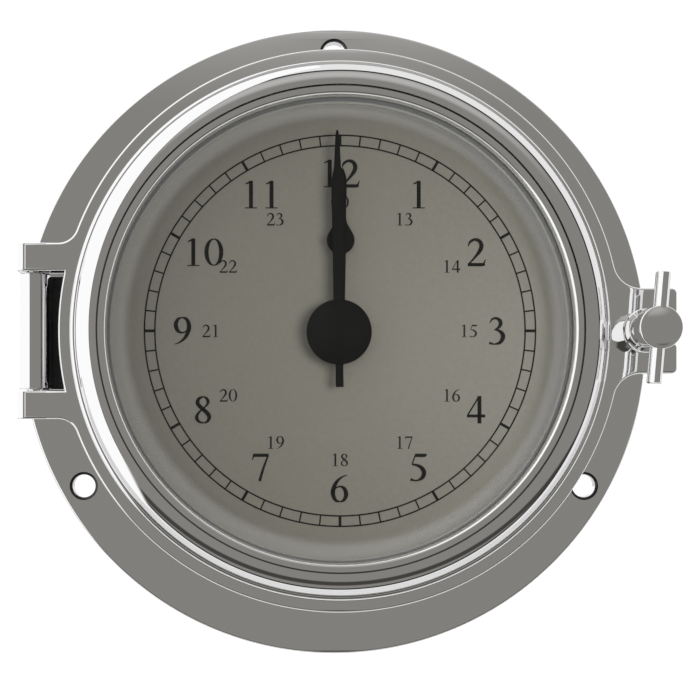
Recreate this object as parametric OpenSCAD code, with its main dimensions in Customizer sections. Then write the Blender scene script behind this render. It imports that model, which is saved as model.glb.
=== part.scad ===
// Ship's clock in a porthole case: a flanged wall case, a hinged and glazed door with a thumb
// screw, and a quartz movement with its wheel train behind the dial.
// Lengths are millimetres. The clock is drawn lying on its back, dial up, and face() stands it up:
// afterwards +Z is up, +X is to the reader's right and -Y points at the reader.
// The origin is the centre of the flange's back face, which bears on the wall at y = 0.

/* [Case] */
// Diameter of the mounting flange
flange_d = 184; // [176:1:240]
// Thickness of the mounting flange
flange_t = 3.2; // [2.6:0.1:6]
// Radius of the flange's rounded edge
flange_edge_r = 1; // [0.4:0.1:1.3]
// Diameter of the case wall, outside
case_d = 132; // [130:0.5:134]
// Thickness of the case wall
case_wall = 3.5; // [2.5:0.1:4]
// Height of the case rim above the wall it hangs on
case_h = 29.5; // [28:0.5:34]
// Fillet between flange and case wall
case_fillet = 3; // [1:0.5:5]
// Distance of the fixing holes' centres from the flange's edge
fixing_edge = 7; // [5.5:0.5:9]
// Diameter of a fixing hole
fixing_hole_d = 6.5; // [4:0.1:7]
// Number of fixing holes
fixing_count = 3; // [3:1:6]

/* [Door] */
// How far the door plate reaches past the case wall
door_overhang = 5.6; // [5:0.1:7]
// Thickness of the door plate
door_t = 5; // [4:0.1:7]
// Chamfer on the plate's front edge
door_chamfer = 0.6; // [0.3:0.1:1.5]
// Thickness of the step that the raised ring stands on
step_t = 1.1; // [0.6:0.1:1.6]
// Width of the step outside the raised ring's foot
step_w = 1.5; // [1.2:0.1:2]
// Distance of the raised ring's crest from the glass opening
ring_inset = 3.5; // [3:0.1:4]
// Width of the raised ring's outer slope, from crest to foot
ring_w = 5; // [4:0.1:5.5]
// Height of the raised ring above its step
ring_h = 3.9; // [3.4:0.1:4.6]
// How far the clear glass opening lies inside the case wall's outer face
opening_inset = 7.5; // [7:0.1:9]
// Thickness of the lip that holds the glass
lip_t = 2.2; // [1.8:0.1:2.6]

/* [Glass] */
// Thickness of the glass
glass_t = 1.7; // [1.2:0.1:2]
// Width of the glass's bevel
glass_bevel_w = 2.6; // [1:0.1:4]
// Depth of the glass's bevel
glass_bevel_t = 0.5; // [0.2:0.1:0.8]

/* [Hinge] */
// Distance of the hinge pin from the door plate's edge
hinge_offset = 6.9; // [6.5:0.1:9]
// Radius of the hinge knuckles
knuckle_r = 4; // [3.5:0.1:4.5]
// Radius of the hinge pin
pin_r = 1.6; // [1:0.1:2]
// Length of the fixed knuckle
barrel_l = 29.8; // [20:0.2:34]
// Width of each door ear, along the pin
ear_w = 7.2; // [5:0.1:9]
// Rounding of an ear's outer end
ear_round = 2.2; // [1:0.1:2.4]
// Fillet between an ear and the plate
ear_fillet = 5; // [2:0.5:7]

/* [Latch] */
// Distance of the thumb screw's axis from the door plate's edge
screw_offset = 5.9; // [5.2:0.1:7]
// Radius of the thumb screw's shank
shank_r = 2; // [1.5:0.1:2.2]
// Width of the slot in the lug
slot_w = 6.4; // [6:0.1:7]
// Height of the lug on the door
lug_w = 21.8; // [18:0.2:26]
// Distance of the lug's end from the thumb screw's axis
lug_reach = 8.2; // [7:0.1:10]
// Fillet between lug and plate
lug_fillet = 7; // [3:0.5:9]
// Radius of the lug's corners
lug_corner_r = 1.4; // [0.5:0.1:2]
// Radius of the knob at its back
knob_back_r = 4.3; // [3.5:0.1:4.6]
// Radius of the knob at its front rim
knob_front_r = 5.3; // [4.5:0.1:5.6]
// Length of the tommy bar
bar_l = 27.5; // [22:0.5:28]
// Radius of the tommy bar
bar_r = 1.75; // [1.4:0.05:1.9]
// Lean of the tommy bar as it was left, in degrees
bar_lean = 4.85; // [0:0.05:90]
// Thread pitch of the thumb screw
screw_pitch = 1.25; // [0.7:0.05:1.5]
// Turns that free the door
screw_turns = 4; // [3:1:4]

/* [Dial and hands] */
// Clearance between the dial plate's edge and the case wall
dial_gap = 0.5; // [0.2:0.1:1]
// Thickness of the dial plate
dial_t = 1; // [0.6:0.1:1.2]
// Length of the minute hand
minute_l = 51.6; // [45:0.2:54]
// Length of the hour hand
hour_l = 42.5; // [34:0.2:44]
// Width of the hands at the hub
hand_w = 2.8; // [2:0.1:3.2]
// Thickness of the hands
hand_t = 0.5; // [0.4:0.05:0.7]
// Radius of the hour hand's round spade
spade_r = 3.6; // [2.6:0.1:4.4]
// Distance of the spade's centre from the hub
spade_at = 23.6; // [18:0.2:28]
// Length of the minute hand's tail
tail_l = 13.9; // [10:0.1:16]
// Width of the minute hand's tail
tail_w = 2.1; // [1.4:0.1:2.8]
// Radius of the domed hub cap
cap_r = 8.4; // [7:0.1:9.4]
// Lean of the minute hand before the hour, in degrees
minute_lean = 0.56; // [0:0.02:3]

/* [Movement] */
// Width of the movement
movement_w = 56; // [56:0.5:60]
// Room between the centre wheel and the battery bay
train_room = 1.44; // [1.2:0.02:3]
// Thickness of the movement
movement_t = 16; // [16:0.5:17]
// Wall of the movement's shells
shell_wall = 1; // [0.8:0.1:1.2]
// Corner radius of the movement
shell_corner_r = 2; // [1.5:0.1:3]
// Diameter of the battery
battery_d = 14.5; // [13.5:0.1:14.5]
// Room for a contact at each end of the battery
contact_room = 1.75; // [1.2:0.05:3]
// Outer radius of the threaded bushing
bushing_r = 3.8; // [3.4:0.1:4.2]
// Distance across the flats of the bushing nut
nut_flats = 11; // [10:0.1:12]

/* [Wheel train] */
// Module of the cannon pinion and minute wheel
setting_module = 0.5; // [0.45:0.01:0.5]
// Module of the centre and third wheels
train_module = 0.3; // [0.28:0.01:0.3]
// Module of the fourth wheel's rim
fourth_module = 0.25; // [0.2:0.01:0.26]
// Radius of the wheels' arbors
arbor_r = 0.4; // [0.3:0.05:0.45]
// Radius of the centre arbor
centre_arbor_r = 0.75; // [0.6:0.05:0.8]
// Thickness of a wheel
wheel_t = 0.8; // [0.6:0.05:0.9]

/* [Hidden] */
$fn = 96;

// Clearances, and one overrun for every cut
cut = 1;
seat_gap = 0.3;
slip_gap = 0.1;
running_gap = 0.05;
press_gap = 0.02;
fillet_stop = 0.8;

// Case
flange_r = flange_d / 2;
fixing_pcd = flange_d - 2 * fixing_edge;
case_r = case_d / 2;
bore_r = case_r - case_wall;
dial_r = bore_r - dial_gap;
ledge_w = 5;
ledge_t = 2.5;
rear_ledge_t = 1.6;
cover_t = 1.2;
cover_set_back = 0.5;
cover_screw_r = 1.1;
cover_screw_head_r = 1.9;
cover_screw_head_t = 0.4;
cover_screw_count = 4;
ledge_r = bore_r - ledge_w;
rear_ledge_z = cover_set_back + cover_t + slip_gap;
gasket_t = 1.2;
gasket_inset = 0.2;
retainer_t = 1.5;
retainer_w = 2.8;
dial_ring_t = retainer_t - press_gap;
dial_front_z = case_h - retainer_t;
dial_back_z = dial_front_z - dial_t;

// Door
door_r = case_r + door_overhang;
door_back_z = case_h + gasket_t + seat_gap;
door_front_z = door_back_z + door_t;
opening_r = case_r - opening_inset;
crest_r = opening_r + ring_inset;
ring_foot_r = crest_r + ring_w;
step_r = ring_foot_r + step_w;
step_front_z = door_front_z + step_t;
crest_z = step_front_z + ring_h;
ring_side_share = 0.26;
ring_steps = 14;
lip_drop = 0.6;
lip_land = 0.3;
lip_steps = 6;
lip_front_z = crest_z - lip_drop;
lip_round_r = lip_t - lip_land;
glass_grip = 1.6;
glass_r = opening_r + glass_grip;
rebate_r = glass_r + slip_gap;
rebate_z = lip_front_z - lip_t;
glass_front_z = rebate_z - slip_gap;
glass_back_z = glass_front_z - glass_t;
lens_gasket_t = 1.6;
lens_gasket_w = 1.2;
lens_ring_t = 1.6;
lens_ring_front_z = glass_back_z - lens_gasket_t - 2 * slip_gap;
lens_ring_back_z = lens_ring_front_z - lens_ring_t;
lens_ring_grip = 2.9;
lens_ring_r = rebate_r + lens_ring_grip;
lens_screw_r = 0.8;
lens_screw_head_r = 1.3;
lens_screw_head_t = 0.7;
lens_screw_l = 3.4;
lens_screw_count = 4;
lens_screw_pcr = (rebate_r + lens_ring_r) / 2;

// Hinge: the pin's axis stands upright in the plane of the knuckles
hinge_x = door_r + hinge_offset;
hinge_z = door_front_z - knuckle_r;
ear_in_y = barrel_l / 2 + seat_gap;
ear_out_y = ear_in_y + ear_w;
pin_l = 2 * (ear_out_y - seat_gap);
gusset_drop = 11;

// Latch
screw_x = door_r + screw_offset;
lug_x = screw_x + lug_reach;
slot_play = 0.8;
slot_end_x = screw_x - slot_w / 2 - slot_play;
boss_r = 7;
boss_t = 10.5;
boss_foot_z = case_h - boss_t;
thread_gap = 0.45;
collar_r = 4;
collar_t = 1;
well_depth = 5.2;
well_r = collar_r + thread_gap;
well_z = case_h - well_depth;
collar_z = well_z + seat_gap;
tip_drop = 5;
tip_z = collar_z - tip_drop;
washer_t = 0.7;
washer_rim = 0.3;
washer_r = knob_front_r + washer_rim;
knob_z = door_front_z + washer_t + 2 * press_gap;
knob_h = 8.4;
knob_round = 0.4;
knob_steps = 4;
knob_dome_h = 0.7;
bar_height_share = 0.8;
bar_chamfer = 0.3;
bar_z = knob_z + knob_h * bar_height_share;
keeper_r = 0.7;
keeper_play = 2.3;
keeper_x = screw_x + shank_r + keeper_r + keeper_play;
keeper_z = door_back_z + 2 * keeper_r;
keeper_end = 2.5;
keeper_l = lug_w - 2 * keeper_end;

// Dial side of the movement
dial_washer_t = 0.5;
movement_front_z = dial_back_z - dial_washer_t;
movement_back_z = movement_front_z - movement_t;
shell_split_z = movement_front_z - movement_t / 2;
inner_front_z = movement_front_z - shell_wall;
inner_back_z = movement_back_z + shell_wall;
inner_half_w = movement_w / 2 - shell_wall;
washer_seat_r = 8;
brass_washer_t = 0.5;
nut_t = 1.7;
nut_z = dial_front_z + brass_washer_t;
bushing_front_z = nut_z + nut_t + slip_gap;
bushing_flange_r = 5;
pipe_r = 1.6;
pipe_bore_r = centre_arbor_r + running_gap;
bushing_bore_r = pipe_r + running_gap;
hand_air = 0.6;
hour_hand_z = bushing_front_z + hand_air;
pipe_front_z = hour_hand_z + hand_t;
minute_hand_z = pipe_front_z + hand_air;
arbor_front_z = minute_hand_z + hand_t;
cap_h = 2.2;
hand_boss_share = 1.6;

// Wheel train: the wheels' places and levels, from the centre arbor outwards
pressure_angle = 25;
addendum_share = 0.7;
dedendum_share = 0.95;
tooth_play = 0.05;
bearing_end = 0.5;
cannon_teeth = 12;
minute_teeth = 36;
minute_pinion_teeth = 10;
hour_teeth = 40;
centre_teeth = 64;
pinion_teeth = 8;
third_teeth = 60;
fourth_teeth = 40;
setting_teeth = 10;
motion_distance = (cannon_teeth + minute_teeth) * setting_module / 2;
hour_module = 2 * motion_distance / (minute_pinion_teeth + hour_teeth);
third_distance = (centre_teeth + pinion_teeth) * train_module / 2;
fourth_distance = (third_teeth + pinion_teeth) * train_module / 2;
setting_distance = (minute_teeth + setting_teeth) * setting_module / 2;
minute_angle = 0;
third_angle = 60;
fourth_angle = 150;
setting_angle = 60;
minute_at = polar(motion_distance, minute_angle);
third_at = polar(third_distance, third_angle);
fourth_at = third_at + polar(fourth_distance, fourth_angle);
setting_at = minute_at + polar(setting_distance, setting_angle);
level_step = 2;
hour_wheel_drop = 1.6;
hour_wheel_z = inner_front_z - hour_wheel_drop;
minute_wheel_z = hour_wheel_z - level_step;
centre_wheel_z = minute_wheel_z - level_step - wheel_t;
third_wheel_z = centre_wheel_z - level_step;
fourth_wheel_z = third_wheel_z - level_step;
pinion_extra = 0.2;
hour_phase = 0;
cannon_phase = 0;
stem_r = 1;
stem_knob_r = 5;
stem_knob_t = 2.6;
stem_knob_gap = 0.4;
stem_knob_ribs = 18;
stem_rib_r = 0.35;

// Battery bay and electrics
battery_l = 2 * (inner_half_w - contact_room);
bay_wall_t = 1;
bay_wall_y = -(centre_teeth / 2 + addendum_share) * train_module - train_room - bay_wall_t;
battery_y = bay_wall_y - seat_gap / 2 - battery_d / 2;
inner_low_y = battery_y - battery_d / 2 - slip_gap;
movement_low_y = inner_low_y - shell_wall;
battery_z = inner_front_z - battery_d / 2 - seat_gap / 2;
button_r = 2.75;
button_l = 1.3;
contact_t = 0.4;
contact_w = 10;
contact_dimple_r = 2.5;
motor_w = 13;
motor_h = 17;
motor_t = 5.6;
motor_x = -inner_half_w + slip_gap;
motor_y = bay_wall_y + bay_wall_t + seat_gap;
coil_r = 3.1;
coil_l = 11;
board_w = 12.5;
board_h = 21;
board_t = 0.8;
motor_z = inner_back_z + slip_gap;
board_z = motor_z + motor_t + coil_r;
crystal_r = 1;
crystal_l = 6;

// Outline of the knob, as shares of its height
neck_share = 0.25;
rim_share = 0.55;

// Outline of the minute hand: places along it as shares of its length, half widths as shares
// of half its width at the hub
minute_places_share = [0.1, 0.45, 0.7, 0.755, 0.82, 0.91, 0.98];
minute_widths_share = [0.97, 1.04, 1.18, 1.14, 0.64, 0.5, 0.3];
tip_width_share = 0.16;

// Outline of the hour hand, as shares of its length and of its width at the hub
hour_shoulder_share = 0.667;
hour_neck_share = 0.9;
hour_flare_share = 1.22;
hour_flare_at_share = 1.1;
hour_taper_share = 0.91;
hour_tip_share = 0.3;
knob_ball_r = (pow(knob_front_r - knob_round, 2) + pow(knob_dome_h, 2)) / (2 * knob_dome_h);
cap_ball_r = (cap_r * cap_r + cap_h * cap_h) / (2 * cap_h);
minute_phase = mesh_phase(minute_angle, cannon_teeth, cannon_phase, minute_teeth);
minute_pinion_phase = mesh_phase(minute_angle, hour_teeth, hour_phase, minute_pinion_teeth);

chrome = "gainsboro";
brass = "goldenrod";
black = "dimgray";
rubber = "darkslategray";
plastic = "slategray";

function polar(r, a) = [r * cos(a), r * sin(a)];

// Stands the clock up: what points up in the drawing points at the reader
module face() rotate([90, 0, 0]) children();

// A flat ring between two heights
module ring(outer_r, inner_r, from_z, to_z)
  translate([0, 0, from_z])
    difference() {
      cylinder(r = outer_r, h = to_z - from_z);
      translate([0, 0, -cut]) cylinder(r = inner_r, h = to_z - from_z + 2 * cut);
    }

// A disc or post between two heights
module post(r, from_z, to_z) translate([0, 0, from_z]) cylinder(r = r, h = to_z - from_z);

// What to cut from a profile's outer corner to round it; sx and sy say which way it points
module corner_cut(corner, r, sx, sy)
  difference() {
    translate(corner - [sx, sy] * (r - cut) / 2) square(r + cut, center = true);
    translate(corner - [sx, sy] * r) circle(r);
  }

// What to cut from a profile's outer front corner to chamfer it
module chamfer_cut(corner, size)
  polygon([corner + [-size - cut, cut], corner + [cut, cut], corner + [cut, -size - cut]]);

// A flat outline with rounded corners, all from straight bars and true circles
module rounded_square(w, h, r) {
  square([w - 2 * r, h], center = true);
  square([w, h - 2 * r], center = true);
  for (sx = [-1, 1], sy = [-1, 1])
    translate([sx * (w / 2 - r), sy * (h / 2 - r)]) circle(r);
}

// Fillet between the circle of radius disc_r and a straight edge at height edge_y, on the side
// of positive x: a patch outside the disc, hollowed by the fillet's own circle, which stops just
// short of the point where it would run out to nothing
module disc_fillet(disc_r, edge_y, r) {
  centre_y = edge_y + r;
  centre_x = sqrt(pow(disc_r + r, 2) - pow(centre_y, 2));
  stop_angle = atan2(centre_y, centre_x) - fillet_stop / disc_r * 180 / PI;
  difference() {
    polygon([
      [centre_x, centre_y], [centre_x, edge_y - r],
      polar(disc_r - r, stop_angle), polar(disc_r + r / 2, stop_angle)
    ]);
    translate([centre_x, centre_y]) circle(r);
  }
}

// Height of an involute flank: the angle that it has turned through at radius r
function involute(r, base_r) =
  r <= base_r ? 0 : sqrt(pow(r / base_r, 2) - 1) * 180 / PI - acos(base_r / r);

// Half of a tooth's angle at radius r
function half_tooth(r, pitch_r, teeth) =
  90 / teeth - tooth_play / (4 * pitch_r) * 180 / PI
  + involute(pitch_r, pitch_r * cos(pressure_angle)) - involute(r, pitch_r * cos(pressure_angle));

// Outline of a spur wheel with stub teeth, one tooth on the angle phase
function wheel_outline(teeth, size, phase) =
  let (pitch_r = teeth * size / 2,
       root_r = pitch_r - dedendum_share * size,
       tip_r = pitch_r + addendum_share * size,
       base_r = max(root_r, pitch_r * cos(pressure_angle)),
       flank = [root_r, base_r, pitch_r, (pitch_r + tip_r) / 2, tip_r])
  [for (i = [0 : teeth - 1], side = [-1, 1], k = [0 : len(flank) - 1])
    let (r = side < 0 ? flank[k] : flank[len(flank) - 1 - k])
    polar(r, phase + 360 * i / teeth + side * half_tooth(r, pitch_r, teeth))];

// Phase of a follower so that its gap meets a tooth of the wheel that it runs with
function mesh_phase(angle, teeth, phase, other_teeth) =
  angle + 180 - (180 - (angle - phase) * teeth) / other_teeth;

// A toothed wheel between two heights, with a many-sided bore that clears its arbor
module toothed(teeth, size, phase, from_z, t, bore_r)
  translate([0, 0, from_z])
    linear_extrude(t)
      difference() {
        polygon(wheel_outline(teeth, size, phase));
        circle(r = (bore_r + press_gap) / cos(180 / 12), $fn = 12);
      }

// Moves to a wheel's place in the plane of the dial
module at(place) translate([place.x, place.y, 0]) children();

module case_profile() {
  difference() {
    union() {
      translate([ledge_r, 0]) square([flange_r - ledge_r, flange_t]);
      translate([bore_r, 0]) square([case_wall, case_h]);
      translate([ledge_r, dial_back_z - ledge_t]) square([ledge_w + press_gap, ledge_t]);
      translate([ledge_r, rear_ledge_z]) square([ledge_w + press_gap, rear_ledge_t]);
      difference() {
        translate([case_r - press_gap, flange_t - press_gap]) square(case_fillet + press_gap);
        translate([case_r + case_fillet, flange_t + case_fillet]) circle(case_fillet);
      }
    }
    translate([ledge_r - cut, -cut]) square([ledge_w + cut, rear_ledge_z + cut]);
    translate([ledge_r - cut, rear_ledge_z + rear_ledge_t]) square([ledge_w + cut, flange_t]);
    corner_cut([flange_r, flange_t], flange_edge_r, 1, 1);
    corner_cut([flange_r, 0], flange_edge_r / 2, 1, -1);
  }
}

// Side view of the fixed hinge knuckle and its gusset on the case wall
module hinge_arm_profile() {
  translate([-hinge_x, hinge_z]) circle(knuckle_r);
  polygon([
    [-case_r + case_wall / 2, case_h - gusset_drop],
    [-case_r + case_wall / 2, case_h],
    [-hinge_x, case_h + slip_gap],
    [-hinge_x - knuckle_r * cos(30), hinge_z - knuckle_r * sin(30)]
  ]);
}

module case_body()
  color(chrome) face()
    difference() {
      union() {
        rotate_extrude() case_profile();
        rotate([90, 0, 0]) linear_extrude(barrel_l, center = true) hinge_arm_profile();
        translate([0, 0, boss_foot_z])
          linear_extrude(boss_t)
            difference() {
              union() {
                translate([screw_x, 0]) circle(boss_r);
                translate([bore_r + case_wall / 2, -boss_r])
                  square([screw_x - bore_r - case_wall / 2, 2 * boss_r]);
              }
              circle(bore_r);
            }
      }
      for (i = [0 : fixing_count - 1])
        at(polar(fixing_pcd / 2, 90 + 360 * i / fixing_count))
          post(fixing_hole_d / 2, -cut, flange_t + cut);
      for (i = [0 : cover_screw_count - 1])
        at(polar(ledge_r + ledge_w / 2, 45 + 360 * i / cover_screw_count))
          post(cover_screw_r, 0, rear_ledge_z + rear_ledge_t + cut);
      translate([-hinge_x, 0, hinge_z]) rotate([90, 0, 0])
        cylinder(r = pin_r + press_gap, h = barrel_l + 2 * cut, center = true);
      at([screw_x, 0]) post(shank_r + thread_gap, boss_foot_z - cut, case_h + cut);
      at([screw_x, 0]) post(well_r, well_z, case_h + cut);
    }

module case_gasket()
  color(rubber) face() ring(case_r - gasket_inset, bore_r + gasket_inset, case_h, case_h + gasket_t);

module back_cover()
  color(black) face()
    difference() {
      post(bore_r - slip_gap, cover_set_back, cover_set_back + cover_t);
      for (i = [0 : cover_screw_count - 1])
        at(polar(ledge_r + ledge_w / 2, 45 + 360 * i / cover_screw_count))
          post(cover_screw_r + slip_gap, 0, rear_ledge_z);
    }

module back_cover_screws()
  color(chrome) face()
    for (i = [0 : cover_screw_count - 1])
      at(polar(ledge_r + ledge_w / 2, 45 + 360 * i / cover_screw_count)) {
        post(cover_screw_head_r, cover_set_back - cover_screw_head_t, cover_set_back);
        post(cover_screw_r - press_gap, cover_set_back - press_gap, rear_ledge_z + rear_ledge_t);
      }

module dial_plate()
  color("tan") face() ring(dial_r, bushing_r + slip_gap, dial_back_z, dial_front_z);

module dial_retaining_ring()
  color(chrome) face()
    ring(bore_r - slip_gap, bore_r - retainer_w, dial_front_z, dial_front_z + dial_ring_t);

module hinge_pin()
  color(chrome) face()
    translate([-hinge_x, 0, hinge_z]) rotate([90, 0, 0]) cylinder(r = pin_r, h = pin_l, center = true);

// Outline of the movement
module movement_plan()
  translate([0, (movement_w / 2 + movement_low_y) / 2])
    rounded_square(movement_w, movement_w / 2 - movement_low_y, shell_corner_r);

// Outline of the space inside the movement
module movement_inside()
  translate([-inner_half_w, inner_low_y]) square([2 * inner_half_w, inner_half_w - inner_low_y]);

// Holes in a movement shell for the wheels' arbors
module pivot_holes()
  for (place = [minute_at, third_at, fourth_at])
    at(place) post(arbor_r + running_gap, movement_back_z - cut, movement_front_z + cut);

module movement_front_shell()
  color(plastic) face()
    difference() {
      translate([0, 0, shell_split_z])
        linear_extrude(movement_front_z - shell_split_z) movement_plan();
      translate([0, 0, shell_split_z - cut])
        linear_extrude(inner_front_z - shell_split_z + cut) movement_inside();
      post(bushing_flange_r, inner_front_z - cut, movement_front_z + cut);
      pivot_holes();
    }

module movement_rear_shell()
  color(plastic) face() {
    difference() {
      translate([0, 0, movement_back_z])
        linear_extrude(shell_split_z - movement_back_z) movement_plan();
      translate([0, 0, inner_back_z])
        linear_extrude(shell_split_z) movement_inside();
      translate([-inner_half_w, inner_low_y, movement_back_z - cut])
        cube([2 * inner_half_w, bay_wall_y - inner_low_y, shell_wall + 2 * cut]);
      post(centre_arbor_r + running_gap, movement_back_z - cut, inner_back_z + cut);
      at(setting_at) post(stem_r + running_gap, movement_back_z - cut, inner_back_z + cut);
      pivot_holes();
    }
    translate([-inner_half_w + slip_gap, bay_wall_y, inner_back_z])
      cube([2 * (inner_half_w - slip_gap), bay_wall_t, inner_front_z - inner_back_z - slip_gap]);
  }

module movement_bushing()
  color(brass) face() {
    ring(bushing_flange_r - press_gap, bushing_bore_r, inner_front_z, movement_front_z);
    ring(bushing_r, bushing_bore_r, movement_front_z - press_gap, bushing_front_z);
  }

module dial_washer()
  color(rubber) face() ring(washer_seat_r, bushing_r + slip_gap, movement_front_z, dial_back_z);

module bushing_washer()
  color(brass) face() ring(washer_seat_r, bushing_r + slip_gap, dial_front_z, nut_z);

module bushing_nut()
  color(brass) face()
    difference() {
      translate([0, 0, nut_z]) cylinder(r = nut_flats / 2 / cos(180 / 6), h = nut_t, $fn = 6);
      post(bushing_r + press_gap, nut_z - cut, nut_z + nut_t + cut);
    }

module battery()
  color("darkgoldenrod") face()
    translate([-battery_l / 2, battery_y, battery_z]) rotate([0, 90, 0]) {
      cylinder(d = battery_d, h = battery_l - button_l);
      cylinder(r = button_r, h = battery_l);
    }

module battery_contacts()
  color(chrome) face()
    for (side = [-1, 1])
      translate([side * (inner_half_w - contact_t / 2 - slip_gap), battery_y, battery_z]) {
        cube([contact_t, contact_w, contact_w], center = true);
        rotate([0, -90 * side, 0])
          cylinder(r = contact_dimple_r,
                   h = inner_half_w - slip_gap - contact_t / 2 - battery_l / 2 - slip_gap);
      }

// Stepping motor, sealed: its laminated block with the coil wound along one side
module motor_unit()
  color("peru") face()
    translate([motor_x, motor_y, motor_z]) {
      cube([motor_w, motor_h, motor_t]);
      translate([motor_w / 2 - coil_l / 2, coil_r, motor_t])
        rotate([0, 90, 0]) cylinder(r = coil_r - slip_gap, h = coil_l);
    }

module circuit_board()
  color("seagreen") face()
    translate([motor_x, motor_y, board_z]) cube([board_w, board_h, board_t]);

module quartz_crystal()
  color(chrome) face()
    translate([motor_x + board_w / 2, motor_y + board_h / 2, board_z + board_t + crystal_r])
      rotate([90, 0, 0]) cylinder(r = crystal_r, h = crystal_l, center = true);

// Slope of the raised ring, from its inner side over the crest down to its foot: a quarter of an
// ellipse, begun a little before its top
function ring_curve() =
  let (start = -asin(ring_side_share))
  [for (i = [0 : ring_steps])
    let (a = start + (90 - start) * i / ring_steps)
    [crest_r + ring_w * sin(a), step_front_z + ring_h * cos(a)]];

// Rounded edge of the lip over the glass, from the opening up to its top
function lip_curve() =
  [for (i = [0 : lip_steps])
    let (a = 180 - 90 * i / lip_steps)
    [opening_r + lip_round_r, rebate_z + lip_land] + polar(lip_round_r, a)];

// Section of the glazed ring: plate, step, raised ring and the lip over the glass
module door_profile()
  difference() {
    union() {
      translate([rebate_r, door_back_z]) square([door_r - rebate_r, door_t]);
      translate([rebate_r, door_back_z])
        square([step_r - step_t - rebate_r, step_front_z - door_back_z]);
      translate([step_r - step_t, door_front_z]) circle(step_t);
      polygon(concat(
        [[opening_r, rebate_z]], lip_curve(), ring_curve(),
        [[ring_foot_r, door_front_z], [rebate_r, door_front_z], [rebate_r, rebate_z]]
      ));
    }
    translate([0, door_back_z - cut])
      square([lens_ring_r + slip_gap, lens_ring_front_z + slip_gap - door_back_z + cut]);
    chamfer_cut([door_r, door_front_z], door_chamfer);
  }

// Plan of the lug and the two ears, outside the ring
module door_tabs_plan()
  difference() {
    union() {
      translate([ring_foot_r, -lug_w / 2 + lug_corner_r])
        square([lug_x - ring_foot_r, lug_w - 2 * lug_corner_r]);
      translate([ring_foot_r, -lug_w / 2]) square([lug_x - ring_foot_r - lug_corner_r, lug_w]);
      for (side = [-1, 1]) {
        translate([lug_x - lug_corner_r, side * (lug_w / 2 - lug_corner_r)]) circle(lug_corner_r);
        scale([1, side]) disc_fillet(door_r, lug_w / 2, lug_fillet);
        scale([-1, side]) disc_fillet(door_r, ear_out_y, ear_fillet);
        scale([-1, side]) translate([ring_foot_r, ear_in_y]) square([hinge_x - ring_foot_r, ear_w]);
      }
    }
    translate([slot_end_x + slot_w / 2, 0]) circle(slot_w / 2);
    translate([slot_end_x + slot_w / 2, -slot_w / 2]) square([lug_x, slot_w]);
    circle(ring_foot_r);
  }

// Side view of an ear's end: round below, and above square but for a rounded corner
module ear_profile() {
  translate([-hinge_x, hinge_z]) circle(knuckle_r);
  difference() {
    translate([-hinge_x - knuckle_r, hinge_z]) square(knuckle_r);
    translate([-hinge_x - knuckle_r, door_front_z]) scale([-1, 1]) corner_cut([0, 0], ear_round, 1, 1);
  }
}

module door_ring()
  color(chrome) face()
    difference() {
      union() {
        rotate_extrude() door_profile();
        translate([0, 0, door_back_z]) linear_extrude(door_t) door_tabs_plan();
        for (side = [-1, 1])
          translate([0, side * (ear_in_y + ear_w / 2), 0]) rotate([90, 0, 0])
            linear_extrude(ear_w, center = true) ear_profile();
      }
      translate([-hinge_x, 0, hinge_z]) rotate([90, 0, 0])
        cylinder(r = pin_r + running_gap, h = 2 * (ear_out_y + cut), center = true);
      for (i = [0 : lens_screw_count - 1])
        at(polar(lens_screw_pcr, 45 + 360 * i / lens_screw_count))
          post(lens_screw_r + press_gap, lens_ring_back_z, lens_ring_back_z + lens_screw_l + slip_gap);
      translate([keeper_x, 0, keeper_z]) rotate([90, 0, 0])
        cylinder(r = keeper_r + press_gap, h = keeper_l, center = true);
    }

module lens()
  color("lightcyan", 0.4) face()
    rotate_extrude()
      polygon([
        [0, glass_back_z],
        [glass_r, glass_back_z],
        [glass_r, glass_front_z],
        [opening_r, glass_front_z],
        [opening_r, glass_front_z - glass_bevel_t / 2],
        [opening_r - glass_bevel_w, glass_front_z],
        [0, glass_front_z]
      ]);

module lens_gasket()
  color(rubber) face()
    ring(glass_r, glass_r - lens_gasket_w, lens_ring_front_z + slip_gap,
         lens_ring_front_z + slip_gap + lens_gasket_t);

module lens_retaining_ring()
  color(chrome) face()
    difference() {
      ring(lens_ring_r, opening_r, lens_ring_back_z, lens_ring_front_z);
      for (i = [0 : lens_screw_count - 1])
        at(polar(lens_screw_pcr, 45 + 360 * i / lens_screw_count))
          post(lens_screw_r + slip_gap, lens_ring_back_z - cut, lens_ring_front_z + cut);
    }

module lens_ring_screws()
  color(chrome) face()
    for (i = [0 : lens_screw_count - 1])
      at(polar(lens_screw_pcr, 45 + 360 * i / lens_screw_count)) {
        post(lens_screw_head_r, lens_ring_back_z - lens_screw_head_t, lens_ring_back_z);
        post(lens_screw_r, lens_ring_back_z - press_gap, lens_ring_back_z + lens_screw_l);
      }

module keeper_pin()
  color(chrome) face()
    translate([keeper_x, 0, keeper_z]) rotate([90, 0, 0])
      cylinder(r = keeper_r, h = keeper_l - slip_gap, center = true);

module screw_washer()
  color(chrome) face()
    at([screw_x, 0])
      ring(washer_r, shank_r + slip_gap, door_front_z + press_gap, door_front_z + press_gap + washer_t);

// Half section of the knob: a waisted body with a rounded rim and a low dome
function knob_profile() = concat(
  [[0, 0], [knob_back_r, 0], [knob_back_r, knob_h * neck_share], [knob_front_r, knob_h * rim_share]],
  [for (a = [0 : 90 / knob_steps : 90])
    [knob_front_r - knob_round, knob_h - knob_round] + polar(knob_round, a)],
  [for (i = [1 : knob_steps])
    let (r = (knob_front_r - knob_round) * (1 - i / knob_steps))
    [r, knob_h + knob_dome_h - knob_ball_r + sqrt(pow(knob_ball_r, 2) - r * r)]]
);

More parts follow.
